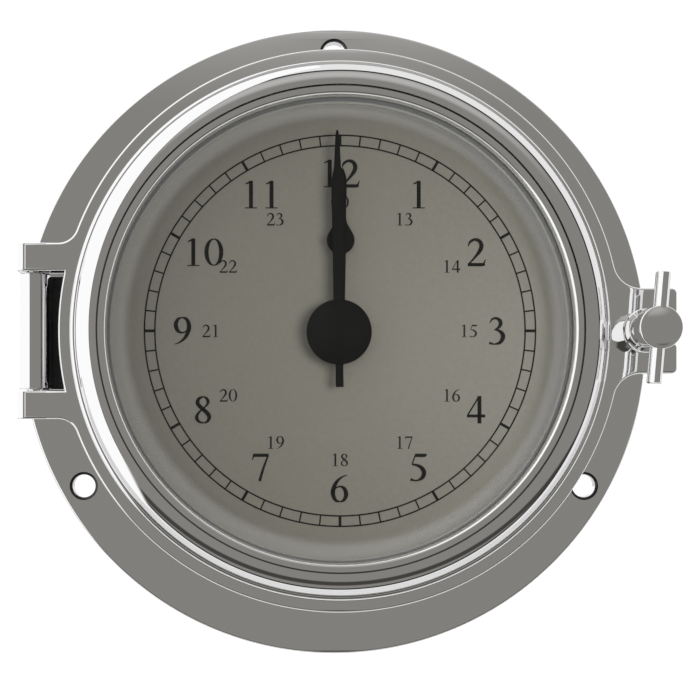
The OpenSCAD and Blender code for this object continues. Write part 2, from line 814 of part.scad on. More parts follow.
module thumb_screw()
  color(chrome) face()
    difference() {
      union() {
        at([screw_x, 0]) post(shank_r, tip_z, knob_z + cut);
        at([screw_x, 0]) post(collar_r, collar_z, collar_z + collar_t);
        translate([screw_x, 0, knob_z])
          rotate_extrude() polygon(knob_profile());
      }
      translate([screw_x, 0, bar_z]) rotate([90, 0, -bar_lean])
        cylinder(r = bar_r + press_gap, h = bar_l, center = true);
    }

module tommy_bar()
  color(chrome) face()
    translate([screw_x, 0, bar_z]) rotate([90, 0, -bar_lean])
      rotate_extrude()
        polygon([
          [0, -bar_l / 2], [bar_r - bar_chamfer, -bar_l / 2], [bar_r, -bar_l / 2 + bar_chamfer],
          [bar_r, bar_l / 2 - bar_chamfer], [bar_r - bar_chamfer, bar_l / 2], [0, bar_l / 2]
        ]);

module minute_hand_plan() {
  upper = [for (i = [0 : len(minute_places_share) - 1])
    [minute_widths_share[i] * hand_w / 2, minute_places_share[i] * minute_l]];
  polygon(concat(
    [[tail_w / 2, -tail_l]], [[tail_w / 2, 0]],
    upper,
    [[tip_width_share * hand_w / 2, minute_l], [-tip_width_share * hand_w / 2, minute_l]],
    [for (i = [len(upper) - 1 : -1 : 0]) [-upper[i].x, upper[i].y]],
    [[-tail_w / 2, 0]], [[-tail_w / 2, -tail_l]]
  ));
  circle(pipe_r * hand_boss_share);
}

module minute_hand()
  color(black) face()
    rotate([0, 0, minute_lean])
      translate([0, 0, minute_hand_z])
        linear_extrude(hand_t)
          difference() {
            minute_hand_plan();
            circle(centre_arbor_r + press_gap);
          }

module hub_cap()
  color(black) face()
    translate([0, 0, arbor_front_z + press_gap])
      rotate_extrude()
        intersection() {
          translate([0, cap_h - cap_ball_r]) circle(cap_ball_r);
          square([cap_r, cap_h]);
        }

module centre_arbor()
  color(brass) face() {
    post(centre_arbor_r, movement_back_z + bearing_end, arbor_front_z);
    toothed(cannon_teeth, setting_module, cannon_phase,
            minute_wheel_z - pinion_extra / 2, wheel_t + pinion_extra, centre_arbor_r);
    toothed(centre_teeth, train_module, 0, centre_wheel_z, wheel_t, centre_arbor_r);
  }

// Plan of the hour hand: shaft, round spade, hollow shoulders and a long point
module hour_hand_plan() {
  neck = hour_neck_share * hand_w / 2;
  polygon([
    [-hand_w / 2, 0], [hand_w / 2, 0],
    [hand_w / 2, spade_at],
    [spade_r * cos(45), spade_at + spade_r * sin(45)],
    [neck * hour_flare_share, spade_at + spade_r * hour_flare_at_share],
    [neck, hour_shoulder_share * hour_l],
    [neck, hour_taper_share * hour_l],
    [neck * hour_tip_share, hour_l], [-neck * hour_tip_share, hour_l],
    [-neck, hour_taper_share * hour_l],
    [-neck, hour_shoulder_share * hour_l],
    [-neck * hour_flare_share, spade_at + spade_r * hour_flare_at_share],
    [-spade_r * cos(45), spade_at + spade_r * sin(45)],
    [-hand_w / 2, spade_at]
  ]);
  translate([0, spade_at]) circle(spade_r);
  circle(pipe_r * hand_boss_share);
}

module hour_hand()
  color(black) face()
    translate([0, 0, hour_hand_z])
      linear_extrude(hand_t)
        difference() {
          hour_hand_plan();
          circle(pipe_r + press_gap);
        }

module hour_wheel()
  color(brass) face() {
    ring(pipe_r, pipe_bore_r, hour_wheel_z, pipe_front_z);
    toothed(hour_teeth, hour_module, hour_phase, hour_wheel_z, wheel_t, pipe_r);
  }

// A wheel's arbor, which runs in both shells of the movement
module arbor() post(arbor_r, movement_back_z + bearing_end, movement_front_z - bearing_end);

module minute_wheel()
  color(brass) face()
    at(minute_at) {
      arbor();
      toothed(minute_teeth, setting_module, minute_phase, minute_wheel_z, wheel_t, arbor_r);
      toothed(minute_pinion_teeth, hour_module, minute_pinion_phase, minute_wheel_z + wheel_t,
              hour_wheel_z - minute_wheel_z + pinion_extra, arbor_r);
    }

module third_wheel()
  color(brass) face()
    at(third_at) {
      arbor();
      toothed(third_teeth, train_module, 0, third_wheel_z, wheel_t, arbor_r);
      toothed(pinion_teeth, train_module, mesh_phase(third_angle, centre_teeth, 0, pinion_teeth),
              third_wheel_z + wheel_t, centre_wheel_z - third_wheel_z + pinion_extra, arbor_r);
    }

module fourth_wheel()
  color(brass) face()
    at(fourth_at) {
      arbor();
      toothed(fourth_teeth, fourth_module, 0, fourth_wheel_z, wheel_t, arbor_r);
      toothed(pinion_teeth, train_module, mesh_phase(fourth_angle, third_teeth, 0, pinion_teeth),
              fourth_wheel_z + wheel_t, third_wheel_z - fourth_wheel_z + pinion_extra, arbor_r);
    }

module setting_stem()
  color(black) face()
    at(setting_at) {
      post(stem_r, movement_back_z - stem_knob_gap - cut, minute_wheel_z + wheel_t + pinion_extra);
      toothed(setting_teeth, setting_module,
              mesh_phase(setting_angle, minute_teeth, minute_phase, setting_teeth),
              minute_wheel_z - pinion_extra / 2, wheel_t + pinion_extra, stem_r);
      post(stem_knob_r, movement_back_z - stem_knob_gap - stem_knob_t,
           movement_back_z - stem_knob_gap);
      for (i = [0 : stem_knob_ribs - 1])
        at(polar(stem_knob_r, 360 * i / stem_knob_ribs))
          post(stem_rib_r, movement_back_z - stem_knob_gap - stem_knob_t,
               movement_back_z - stem_knob_gap);
    }

case_body();
case_gasket();
back_cover();
back_cover_screws();
dial_plate();
dial_retaining_ring();
hinge_pin();
movement_front_shell();
movement_rear_shell();
movement_bushing();
dial_washer();
bushing_washer();
bushing_nut();
battery();
battery_contacts();
motor_unit();
circuit_board();
quartz_crystal();
door_ring();
lens();
lens_gasket();
lens_retaining_ring();
lens_ring_screws();
keeper_pin();
screw_washer();
thumb_screw();
tommy_bar();
minute_hand();
hub_cap();
centre_arbor();
hour_hand();
hour_wheel();
minute_wheel();
third_wheel();
fourth_wheel();
setting_stem();
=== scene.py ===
# %% [markdown]
# A ship's clock in a porthole case, dressed for its portrait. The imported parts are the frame: every
# piece that is modelled here takes the place of one of them, at the same size and in the same spot,
# and moves with the same body. Its lengths are written in millimetres and turned into metres once,
# when its mesh is finished. Only the studio is laid out in metres.

# %% The frame
import math

import bmesh
import bpy
from mathutils import Matrix, Vector


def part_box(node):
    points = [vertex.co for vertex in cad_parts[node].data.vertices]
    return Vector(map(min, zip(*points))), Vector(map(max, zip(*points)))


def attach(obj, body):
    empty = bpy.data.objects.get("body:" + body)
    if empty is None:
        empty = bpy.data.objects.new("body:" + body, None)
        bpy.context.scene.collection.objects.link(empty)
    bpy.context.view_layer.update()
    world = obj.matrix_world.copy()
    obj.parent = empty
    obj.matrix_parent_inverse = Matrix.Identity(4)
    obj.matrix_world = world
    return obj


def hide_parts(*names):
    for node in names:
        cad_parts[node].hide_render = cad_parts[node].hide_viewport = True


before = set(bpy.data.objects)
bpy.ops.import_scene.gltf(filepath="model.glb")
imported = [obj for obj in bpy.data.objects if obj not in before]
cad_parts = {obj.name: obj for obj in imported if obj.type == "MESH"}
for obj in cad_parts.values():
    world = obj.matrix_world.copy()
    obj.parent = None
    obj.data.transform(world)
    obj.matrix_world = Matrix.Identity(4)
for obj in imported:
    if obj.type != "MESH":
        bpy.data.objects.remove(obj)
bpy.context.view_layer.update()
scene = bpy.context.scene
MM = 0.001

# %% [markdown]
# The clock was photographed from close by, a little to the left of its middle and below it. A short
# distance makes the raised door look larger than the flange behind it, so the camera stands where
# the photograph's own circles say that it stood. It looks straight at the wall, and its shift
# brings the clock into the frame as the picture does.

# %% The camera
CAMERA_AT = Vector((-10.85, -240.0, -19.85)) * MM
camera_data = bpy.data.cameras.new("camera")
camera_data.lens = 41.39
camera_data.sensor_width = 36.0
camera_data.shift_x = 0.0757
camera_data.shift_y = 0.0843
camera_data.clip_start = 0.01
camera = bpy.data.objects.new("camera", camera_data)
camera.location = CAMERA_AT
camera.rotation_euler = (math.radians(90), 0, 0)
scene.collection.objects.link(camera)
scene.camera = camera
print("camera %.0f mm from the wall" % (-CAMERA_AT.y / MM))

# %% [markdown]
# Sizes that several pieces share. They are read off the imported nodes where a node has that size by
# itself, and are written out where it is the place of an edge inside a node. Heights count from the
# wall towards the reader, and the clock's middle is the origin.


# %% Sizes
def node_size(node):
    low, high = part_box(node)
    return (Vector(high) - Vector(low)) / MM


def node_height(node):
    """Lowest and highest point of a node above the wall, in millimetres."""
    low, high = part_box(node)
    return -high[1] / MM, -low[1] / MM


def on_circle(radius, degrees):
    turn = math.radians(degrees)
    return radius * math.cos(turn), radius * math.sin(turn)


FLANGE_R = node_size("case_body").x / 2
CASE_R, CASE_H = 66.0, 29.5
HOLE_R, HOLE_CIRCLE_R = 3.25, 85.0
HOLE_PLACES = [on_circle(HOLE_CIRCLE_R, angle) for angle in (90, 210, 330)]
DOOR_R = 71.6
DOOR_BACK, DOOR_FRONT = 31.0, 36.0
OPENING_R = 58.5
DIAL_BACK, DIAL_FRONT = node_height("dial_plate")
HINGE_X, HINGE_Z = 78.5, 32.0
KNUCKLE_R = 4.0
SCREW_X = 77.5
print("flange %.1f mm, dial face %.1f mm off the wall" % (2 * FLANGE_R, DIAL_FRONT))

# %% [markdown]
# A few tools serve nearly every piece. They draw a piece lying down, with its front upwards, and
# this cell ends it: it stands the mesh up to face the reader, joins doubled points, turns the faces
# outwards and marks the sharp edges, so that curves shade smoothly and edges stay crisp.

# %% Arcs, and the end of a piece
UPRIGHT = Matrix.Rotation(math.radians(90), 4, "X")
SHARP = math.radians(35)


def arc(centre, radius, start, end, steps):
    """Points along an arc, with the angles in degrees."""
    spots = [on_circle(radius, start + (end - start) * i / steps) for i in range(steps + 1)]
    return [(centre[0] + x, centre[1] + y) for x, y in spots]


def circle(radius, steps=360, centre=(0, 0)):
    return arc(centre, radius, 0, 360 - 360 / steps, steps - 1)


def to_object(bm, name, place):
    """Stands a mesh up in its place and makes a finished object of it."""
    bmesh.ops.transform(bm, matrix=UPRIGHT @ place, verts=bm.verts)
    bmesh.ops.remove_doubles(bm, verts=bm.verts, dist=0.0005)
    bmesh.ops.recalc_face_normals(bm, faces=bm.faces)
    for face in bm.faces:
        face.smooth = True
    for edge in bm.edges:
        edge.smooth = edge.is_manifold and edge.calc_face_angle(0) < SHARP
    bmesh.ops.scale(bm, vec=(MM, MM, MM), verts=bm.verts)
    mesh = bpy.data.meshes.new(name)
    bm.to_mesh(mesh)
    bm.free()
    piece = bpy.data.objects.new(name, mesh)
    scene.collection.objects.link(piece)
    return piece


# %% [markdown]
# Most of a clock is turned on a lathe. A cylinder with cuts would do for some pieces, but a half
# section spun about an axis gives every step, groove and dome at once, as the turner's tool does.


# %% Turned pieces
def turned(name, profile, steps=256, closed=True, place=Matrix()):
    """Spins a half section of (radius, height) points about the clock's axis."""
    bm = bmesh.new()
    points = [bm.verts.new((r, 0, z)) for r, z in profile]
    pairs = list(zip(points, points[1:])) + ([(points[-1], points[0])] if closed else [])
    edges = [bm.edges.new(pair) for pair in pairs]
    bmesh.ops.spin(bm, geom=points + edges, cent=(0, 0, 0), axis=(0, 0, 1),
                   angle=math.tau, steps=steps, use_merge=True)
    return to_object(bm, name, place)


# %% [markdown]
# The flat pieces are cut from sheet or cast as a slab. A curve object fills such an outline, holes
# and all, gives it a thickness and rounds its edges in one go, where a bevel on a filled mesh would
# trip over the many small segments. Its mesh is then taken over.

# %% Pieces cut from sheet
EDGE_STEPS = 3


def sheet_piece(name, outlines, low, high, edge=0.0, place=Matrix()):
    """Makes a plate from closed outlines, the first one the rim and the others holes."""
    curve = bpy.data.curves.new("outline", "CURVE")
    curve.dimensions = "2D"
    curve.fill_mode = "BOTH"
    for outline in outlines:
        spline = curve.splines.new("POLY")
        spline.points.add(len(outline) - 1)
        for point, (x, y) in zip(spline.points, outline):
            point.co = (x, y, 0, 1)
        spline.use_cyclic_u = True
    curve.extrude = (high - low) / 2 - edge
    curve.bevel_depth = edge
    curve.bevel_resolution = EDGE_STEPS
    curve.offset = -edge
    drawing = bpy.data.objects.new("outline", curve)
    scene.collection.objects.link(drawing)
    graph = bpy.context.evaluated_depsgraph_get()
    mesh = bpy.data.meshes.new_from_object(drawing.evaluated_get(graph))
    bm = bmesh.new()
    bm.from_mesh(mesh)
    bmesh.ops.translate(bm, vec=(0, 0, (low + high) / 2), verts=bm.verts)
    bpy.data.objects.remove(drawing)
    bpy.data.curves.remove(curve)
    bpy.data.meshes.remove(mesh)
    return to_object(bm, name, place)


# %% [markdown]
# A casting is drawn as several shapes that overlap, and its shapes become one object. Every
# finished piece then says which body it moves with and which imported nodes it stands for.


# %% Joining and settling
def joined(pieces, name):
    """Makes one object of several shapes of one casting."""
    bm = bmesh.new()
    for piece in pieces:
        bm.from_mesh(piece.data)
        bpy.data.objects.remove(piece)
    mesh = bpy.data.meshes.new(name)
    bm.to_mesh(mesh)
    bm.free()
    whole = bpy.data.objects.new(name, mesh)
    scene.collection.objects.link(whole)
    return whole


def settle(piece, body, slot, finish, *nodes):
    """Gives a piece its body, its finish and the nodes that it stands for."""
    piece.data.materials.clear()
    piece.data.materials.append(finish.material)
    normals = piece.modifiers.new("flat faces stay flat", "WEIGHTED_NORMAL")
    normals.keep_sharp = True
    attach(piece, body)
    if nodes:
        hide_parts(*nodes)
    print(piece.name, "rides on", body, "with", len(piece.data.polygons), "faces")


# %% [markdown]
# ## Finishes
# A finish is a small network of nodes. Each one starts from the same shader and adds what the real
# surface shows: on chrome a film of fine wiping marks, on lacquer a faint orange peel, on moulded
# plastic a spark texture. Noise on the object's own coordinates does that without any picture, and
# a class keeps the wiring in one place.


# %% A start for every finish
class Finish:
    """A material with one main shader, and short ways to wire its nodes."""

    def __init__(self, name, colour, metallic=0.0, roughness=0.4):
        self.colour = colour
        self.material = bpy.data.materials.new(name)
        self.material.use_nodes = True
        self.nodes = self.material.node_tree.nodes
        self.links = self.material.node_tree.links
        self.shader = self.nodes["Principled BSDF"]
        self.shader.inputs["Base Color"].default_value = (*colour, 1)
        self.shader.inputs["Metallic"].default_value = metallic
        self.shader.inputs["Roughness"].default_value = roughness
        self.place = self.nodes.new("ShaderNodeTexCoord").outputs["Object"]

    def noise(self, scale, detail=3.0, stretch=(1, 1, 1)):
        mapping = self.nodes.new("ShaderNodeMapping")
        mapping.inputs["Scale"].default_value = stretch
        self.links.new(self.place, mapping.inputs["Vector"])
        noise = self.nodes.new("ShaderNodeTexNoise")
        noise.inputs["Scale"].default_value = scale
        noise.inputs["Detail"].default_value = detail
        self.links.new(mapping.outputs["Vector"], noise.inputs["Vector"])
        return noise.outputs["Fac"]

    def spread(self, value, start, end):
        """Maps the middle of a noise, which seldom nears 0 or 1, to a range of values."""
        spread = self.nodes.new("ShaderNodeMapRange")
        spread.inputs["From Min"].default_value = 0.3
        spread.inputs["From Max"].default_value = 0.7
        spread.inputs["To Min"].default_value = start
        spread.inputs["To Max"].default_value = end
        self.links.new(value, spread.inputs["Value"])
        return spread.outputs["Result"]

    def roughness(self, value, low, high):
        self.links.new(self.spread(value, low, high), self.shader.inputs["Roughness"])

    def mixed(self, share, other):
        """Mixes a share of another colour into the finish's own."""
        mix = self.nodes.new("ShaderNodeMix")
        mix.data_type = "RGBA"
        mix.inputs["A"].default_value = (*self.colour, 1)
        mix.inputs["B"].default_value = (*other, 1)
        self.links.new(share, mix.inputs["Factor"])
        self.links.new(mix.outputs["Result"], self.shader.inputs["Base Color"])

    def bump(self, value, depth_mm, strength=1.0):
        bump = self.nodes.new("ShaderNodeBump")
        bump.inputs["Distance"].default_value = depth_mm * MM
        bump.inputs["Strength"].default_value = strength
        self.links.new(value, bump.inputs["Height"])
        self.links.new(bump.outputs["Normal"], self.shader.inputs["Normal"])


# %% [markdown]
# The shade that gathers in creases and round the rims of holes is painted on the chrome as dark
# colour.
# Such a band of painted shade is a thin circle about the clock's axis, or about a line beside it. It
# could be a thin ring of its own, but a few nodes that measure the distance from that line draw it on
# the metal.


# %% Circles of painted shade on a finish
def from_axis(finish, x=0.0, z=0.0):
    """Distance from the clock's axis, or from a line beside it that runs the same way."""
    flat = finish.nodes.new("ShaderNodeVectorMath")
    flat.operation = "MULTIPLY"
    flat.inputs[1].default_value = (1, 0, 1)
    finish.links.new(finish.place, flat.inputs[0])
    distance = finish.nodes.new("ShaderNodeVectorMath")
    distance.operation = "DISTANCE"
    distance.inputs[1].default_value = (x * MM, 0, z * MM)
    finish.links.new(flat.outputs["Vector"], distance.inputs[0])
    return distance.outputs["Value"]


def draw_circles(finish, circles, half_width, colour):
    """Paints thin dark circles of shade, each given by the place of its middle and its radius."""
    drawn = None
    for (x, z), radius in circles:
        near = finish.nodes.new("ShaderNodeMath")
        near.operation = "COMPARE"
        near.inputs[1].default_value = radius * MM
        near.inputs[2].default_value = half_width * MM
        finish.links.new(from_axis(finish, x, z), near.inputs[0])
        if drawn:
            more = finish.nodes.new("ShaderNodeMath")
            more.operation = "MAXIMUM"
            finish.links.new(drawn, more.inputs[0])
            finish.links.new(near.outputs["Value"], more.inputs[1])
            near = more
        drawn = near.outputs["Value"]
    finish.mixed(drawn, colour)


# %% [markdown]
# Chrome plate is a mirror, so nearly all that it shows is the room. Two things keep it from
# looking computed: roughness that wanders a little, as wiped metal does, and a bump too shallow to
# see by itself, which makes long reflections waver. The movement's steel and brass are duller.


# %% The finishes of the metal pieces
def chrome_plate(name):
    plate = Finish(name, (0.86, 0.86, 0.865), metallic=1.0)
    plate.roughness(plate.noise(90), 0.02, 0.05)
    plate.bump(plate.noise(26, detail=1.0), 0.01, strength=0.5)
    return plate


def named(*finishes):
    return ", ".join(finish.material.name for finish in finishes)


HOLE_SHADE_R = HOLE_R + 0.5
LIP_CREASE_R, STEP_CREASE_R = 60.55, 67.05
chrome = chrome_plate("chrome plate")
# Painted shade: dark circles round the rims of the three holes in the flange.
draw_circles(chrome, [(place, HOLE_SHADE_R) for place in HOLE_PLACES],
             half_width=0.38, colour=(0.06, 0.06, 0.06))
door_chrome = chrome_plate("door chrome plate")
# Painted shade: dark circles in the door's two creases, at the lip and at the step.
draw_circles(door_chrome, [((0, 0), LIP_CREASE_R), ((0, 0), STEP_CREASE_R)],
             half_width=0.15, colour=(0.04, 0.04, 0.04))
steel = Finish("bright steel", (0.52, 0.52, 0.53), metallic=1.0)
steel.roughness(steel.noise(400), 0.2, 0.34)
brass = Finish("turned brass", (0.72, 0.52, 0.22), metallic=1.0)
brass.roughness(brass.noise(600, stretch=(1, 4, 1)), 0.2, 0.36)
print("metal finishes:", named(chrome, door_chrome, steel, brass))

# %% [markdown]
# The dial is sprayed with a grey lacquer, the print and the hands are matt black, and the hidden
# pieces are rubber and plastic. Plain colours would look like card, so each one gets its own noise:
# in the colour of the lacquer, in the roughness of the blacks, and as a bump on what is moulded.

# %% The finishes of the dial, the hands and the plain pieces
PAINT_BLACK = (0.004, 0.004, 0.004)
dial_paint = Finish("dial lacquer", (0.171, 0.162, 0.137), roughness=0.42)
dial_paint.mixed(dial_paint.spread(dial_paint.noise(900, detail=2.0), 1, 0), (0.159, 0.150, 0.127))
dial_paint.bump(dial_paint.noise(1400, detail=2.0), 0.01, strength=0.3)
print_ink = Finish("printing ink", PAINT_BLACK)
print_ink.shader.inputs["Specular IOR Level"].default_value = 0.2
print_ink.roughness(print_ink.noise(800), 0.45, 0.6)
hand_paint = Finish("black hands", PAINT_BLACK)
hand_paint.shader.inputs["Specular IOR Level"].default_value = 0.1
hand_paint.roughness(hand_paint.noise(500), 0.36, 0.5)
# Painted shade: the black of the plate that stands for the shade in the hinge's recess.
recess_shade_paint = Finish("painted recess shade", (0.008, 0.008, 0.008))
recess_shade_paint.roughness(recess_shade_paint.noise(400), 0.5, 0.7)
rubber = Finish("black rubber", (0.03, 0.03, 0.03))
rubber.roughness(rubber.noise(500), 0.6, 0.8)
black_plastic = Finish("black plastic", (0.025, 0.025, 0.026), roughness=0.5)
black_plastic.bump(black_plastic.noise(1500, detail=2.0), 0.02, strength=0.5)
battery_jacket = Finish("battery jacket", (0.3, 0.2, 0.08), metallic=0.3)
battery_jacket.roughness(battery_jacket.noise(300), 0.3, 0.42)
copper_wire = Finish("copper winding", (0.45, 0.22, 0.12), metallic=1.0, roughness=0.35)
copper_wire.bump(copper_wire.noise(900, detail=1.0, stretch=(6, 1, 1)), 0.03, strength=0.6)
circuit = Finish("circuit board", (0.03, 0.18, 0.08), roughness=0.35)
circuit.mixed(circuit.spread(circuit.noise(350), 1, 0), (0.015, 0.11, 0.045))
print("paints:", named(dial_paint, print_ink, hand_paint, recess_shade_paint))
print("hidden finishes:", named(rubber, black_plastic, battery_jacket, copper_wire, circuit))

# %% [markdown]
# Glass bends what is behind it, but a lamp's light has to reach the dial through it, and a path
# tracer finds that way only by luck. So rays that look for a lamp, and rays that paint has
# scattered, pass straight through, and all others meet real glass. Its index is lower than a window
# pane's, as on coated glass, so that the dial stays black on grey. Near the rim a little white
# scatter is mixed in, partly the ground bevel's haze and partly painted light for the dial's lit
# edge.

# %% The finish of the glass
GLASS_INDEX = 1.25
HAZE_AND_RIM_LIGHT_FROM_R, HAZE_AND_RIM_LIGHT_FULL_R, HAZE_AND_RIM_LIGHT_SHARE = 52.5, 55.5, 0.06
glass = Finish("clear glass", (1, 1, 1), roughness=0.0)
glass.shader.inputs["Transmission Weight"].default_value = 1.0
glass.shader.inputs["IOR"].default_value = GLASS_INDEX


def glass_mix(share, one, other):
    mix = glass.nodes.new("ShaderNodeMixShader")
    for output, socket in zip((share, one, other), mix.inputs):
        glass.links.new(output, socket)
    return mix.outputs["Shader"]


# Partly haze, partly painted light: a white diffuse share near the rim that brightens the dial's
# edge.
near_rim = glass.nodes.new("ShaderNodeMapRange")
near_rim.interpolation_type = "SMOOTHSTEP"
near_rim.inputs["From Min"].default_value = HAZE_AND_RIM_LIGHT_FROM_R * MM
near_rim.inputs["From Max"].default_value = HAZE_AND_RIM_LIGHT_FULL_R * MM
near_rim.inputs["To Max"].default_value = HAZE_AND_RIM_LIGHT_SHARE
glass.links.new(from_axis(glass), near_rim.inputs["Value"])
haze_and_rim_light = glass.nodes.new("ShaderNodeBsdfDiffuse")
haze_and_rim_light.inputs["Color"].default_value = (0.8, 0.8, 0.8, 1)
with_haze_and_rim_light = glass_mix(near_rim.outputs["Result"], glass.shader.outputs["BSDF"], haze_and_rim_light.outputs["BSDF"])
clear = glass.nodes.new("ShaderNodeBsdfTransparent")
clear.inputs["Color"].default_value = (0.93, 0.94, 0.93, 1)
light_path = glass.nodes.new("ShaderNodeLightPath")
either = glass.nodes.new("ShaderNodeMath")
either.operation = "MAXIMUM"
glass.links.new(light_path.outputs["Is Shadow Ray"], either.inputs[0])
glass.links.new(light_path.outputs["Is Diffuse Ray"], either.inputs[1])
glass.links.new(glass_mix(either.outputs["Value"], with_haze_and_rim_light, clear.outputs["BSDF"]),
                glass.nodes["Material Output"].inputs["Surface"])
print("glass with index", GLASS_INDEX, "and", len(glass.nodes), "nodes")

# %% [markdown]
# ## The case
# The case is one casting: a flange with three holes, a deep round wall, the fixed half of the
# hinge and the boss for the thumb screw. The flange is cut as sheet, because its holes then come
# with their rounded edges. The wall is turned and stands on it with a fillet, and has two ledges
# inside, one for the back cover and one for the dial.

# %% The flange and the wall
FLANGE_T, FLANGE_EDGE = 3.2, 0.8
BORE_R, LEDGE_R = 62.5, 57.5
COVER_LEDGE, DIAL_LEDGE = (1.8, 3.4), (24.5, 27.0)
FILLET, CHAMFER = 3.0, 0.4
FLANGE_BORE_R = BORE_R + 0.5
flange_holes = [circle(HOLE_R, 48, place) for place in HOLE_PLACES]
flange = sheet_piece("flange", [circle(FLANGE_R), circle(FLANGE_BORE_R)] + flange_holes,
                     0, FLANGE_T, FLANGE_EDGE)
foot_r, foot_height = FLANGE_BORE_R + 0.1, FLANGE_T - 0.5
wall = turned("wall", [
    (BORE_R, COVER_LEDGE[1]), (BORE_R, DIAL_LEDGE[0]), (LEDGE_R, DIAL_LEDGE[0]),
    (LEDGE_R, DIAL_LEDGE[1]), (BORE_R, DIAL_LEDGE[1]),
    (BORE_R, CASE_H - CHAMFER), (BORE_R + CHAMFER, CASE_H),
    (CASE_R - CHAMFER, CASE_H), (CASE_R, CASE_H - CHAMFER),
    *arc((CASE_R + FILLET, FLANGE_T + FILLET), FILLET, 180, 270, 8),
    (CASE_R + FILLET, foot_height), (foot_r, foot_height), (foot_r, COVER_LEDGE[0]),
    (LEDGE_R, COVER_LEDGE[0]), (LEDGE_R, COVER_LEDGE[1]),
])
print("flange has", len(flange_holes), "holes, wall is", CASE_H, "mm high")

# %% [markdown]
# The hinge's fixed knuckle is a short upright tube beside the wall, carried by a gusset, and the
# boss is a round nose with a bore. They are turned and cut like the rest and run a little way into
# the wall, so that the casting has no gaps.
# Between the knuckle and the door's rim lies a recess in shade. A thin black plate in it is painted
# shade, standing for that shade.

# %% The fixed knuckle, its gusset and the boss
BARREL_L, PIN_HOLE_R = 29.8, 1.62
knuckle_place = Matrix.Translation((-HINGE_X, BARREL_L / 2, HINGE_Z)) @ UPRIGHT
barrel = turned("barrel", [
    (PIN_HOLE_R, 0), (KNUCKLE_R - CHAMFER, 0), (KNUCKLE_R, CHAMFER),
    (KNUCKLE_R, BARREL_L - CHAMFER), (KNUCKLE_R - CHAMFER, BARREL_L), (PIN_HOLE_R, BARREL_L),
], steps=96, place=knuckle_place)
ROOT_X = CASE_R - 1.5
GUSSET_LOW, GUSSET_HALF, GUSSET_EDGE = 18.6, BARREL_L / 2 - 0.1, 0.3
gusset_nose = (-HINGE_X - 3.4, HINGE_Z - 2.1)
gusset_side = [(-ROOT_X, GUSSET_LOW), (-ROOT_X, CASE_H), (-HINGE_X, CASE_H), gusset_nose]
gusset = sheet_piece("gusset", [gusset_side], -GUSSET_HALF, GUSSET_HALF, GUSSET_EDGE,
                     place=UPRIGHT)
BOSS_R, BOSS_BORE_R, BOSS_BACK = 7.0, 4.45, 19.0
boss_outline = [(ROOT_X, -BOSS_R)] + arc((SCREW_X, 0), BOSS_R, -90, 90, 32) + [(ROOT_X, BOSS_R)]
boss = sheet_piece("boss", [boss_outline, circle(BOSS_BORE_R, 36, (SCREW_X, 0))],
                   BOSS_BACK, CASE_H, CHAMFER)
case_shell = joined([flange, wall, barrel, gusset, boss], "case_shell")
settle(case_shell, "case", "chrome", chrome, "case_body")
# Painted shade: a thin black plate in the recess behind the knuckle.
RECESS_X, RECESS_HALF = 75.6, 14.7
SHADE_PLATE_BACK, SHADE_PLATE_FRONT = CASE_H - 0.2, CASE_H + 0.15
recess_rim = [(-RECESS_X, -RECESS_HALF), (-CASE_R, -RECESS_HALF),
              (-CASE_R, RECESS_HALF), (-RECESS_X, RECESS_HALF)]
recess = sheet_piece("recess", [recess_rim], SHADE_PLATE_BACK, SHADE_PLATE_FRONT)
settle(recess, "case", "hand_black", recess_shade_paint)

# %% [markdown]
# ## The door
# The door is a plate with two ears and a slotted lug, and a raised ring turned on its front. The
# plate could be put together from a disc and bars, but it is cut as one sheet, so that its bright
# rounded edge runs without a break round the ears and the lug. Upper and lower half mirror each
# other, so only the upper one is drawn. Where the rim meets a tab, a gap of under a degree keeps
# the two arcs' points apart.

# %% The plate with its ears and lug
EAR_IN, EAR_OUT = 15.2, 22.4
EAR_ROUND, EAR_CORNER, EAR_FILLET = 2.2, 0.6, 5.0
EAR_END_X = HINGE_X + KNUCKLE_R - EAR_ROUND
LUG_X, LUG_HALF = 85.7, 10.9
LUG_CORNER, LUG_FILLET = 1.4, 7.0
SLOT_END_X, SLOT_HALF, MOUTH_R = 73.5, 3.2, 1.0
PLATE_HOLE_R, PLATE_EDGE = 64.6, 0.6
OUTER_GAP, INNER_GAP = 0.8, 0.6


def tab_fillet(edge_y, radius, steps=10):
    """Arc that leads from the plate's rim into a straight edge at height edge_y, to the right."""
    centre_y = edge_y + radius
    centre_x = math.sqrt((DOOR_R + radius) ** 2 - centre_y ** 2)
    rim_angle = math.degrees(math.atan2(centre_y, centre_x))
    return rim_angle, arc((centre_x, centre_y), radius, 180 + rim_angle, 270, steps)


lug_angle, lug_fillet = tab_fillet(LUG_HALF, LUG_FILLET)
ear_angle, ear_fillet = tab_fillet(EAR_OUT, EAR_FILLET)
upper_lug = (
    arc((SLOT_END_X + SLOT_HALF, 0), SLOT_HALF, 180, 90, 8)
    + arc((LUG_X - MOUTH_R, SLOT_HALF + MOUTH_R), MOUTH_R, -90, 0, 5)
    + arc((LUG_X - LUG_CORNER, LUG_HALF - LUG_CORNER), LUG_CORNER, 0, 90, 6)
    + lug_fillet[::-1]
)
rim = arc((0, 0), DOOR_R, lug_angle + OUTER_GAP, 180 - ear_angle - OUTER_GAP, 130)
upper_ear = (
    [(-x, y) for x, y in ear_fillet]
    + arc((-EAR_END_X + EAR_CORNER, EAR_OUT - EAR_CORNER), EAR_CORNER, 90, 180, 5)
    + arc((-EAR_END_X + EAR_CORNER, EAR_IN + EAR_CORNER), EAR_CORNER, 180, 270, 5)
    + [(-math.sqrt(DOOR_R ** 2 - EAR_IN ** 2), EAR_IN)]
)
inner_angle = 180 - math.degrees(math.asin(EAR_IN / DOOR_R))
rim_between_ears = arc((0, 0), DOOR_R, inner_angle + INNER_GAP, 180, 12)
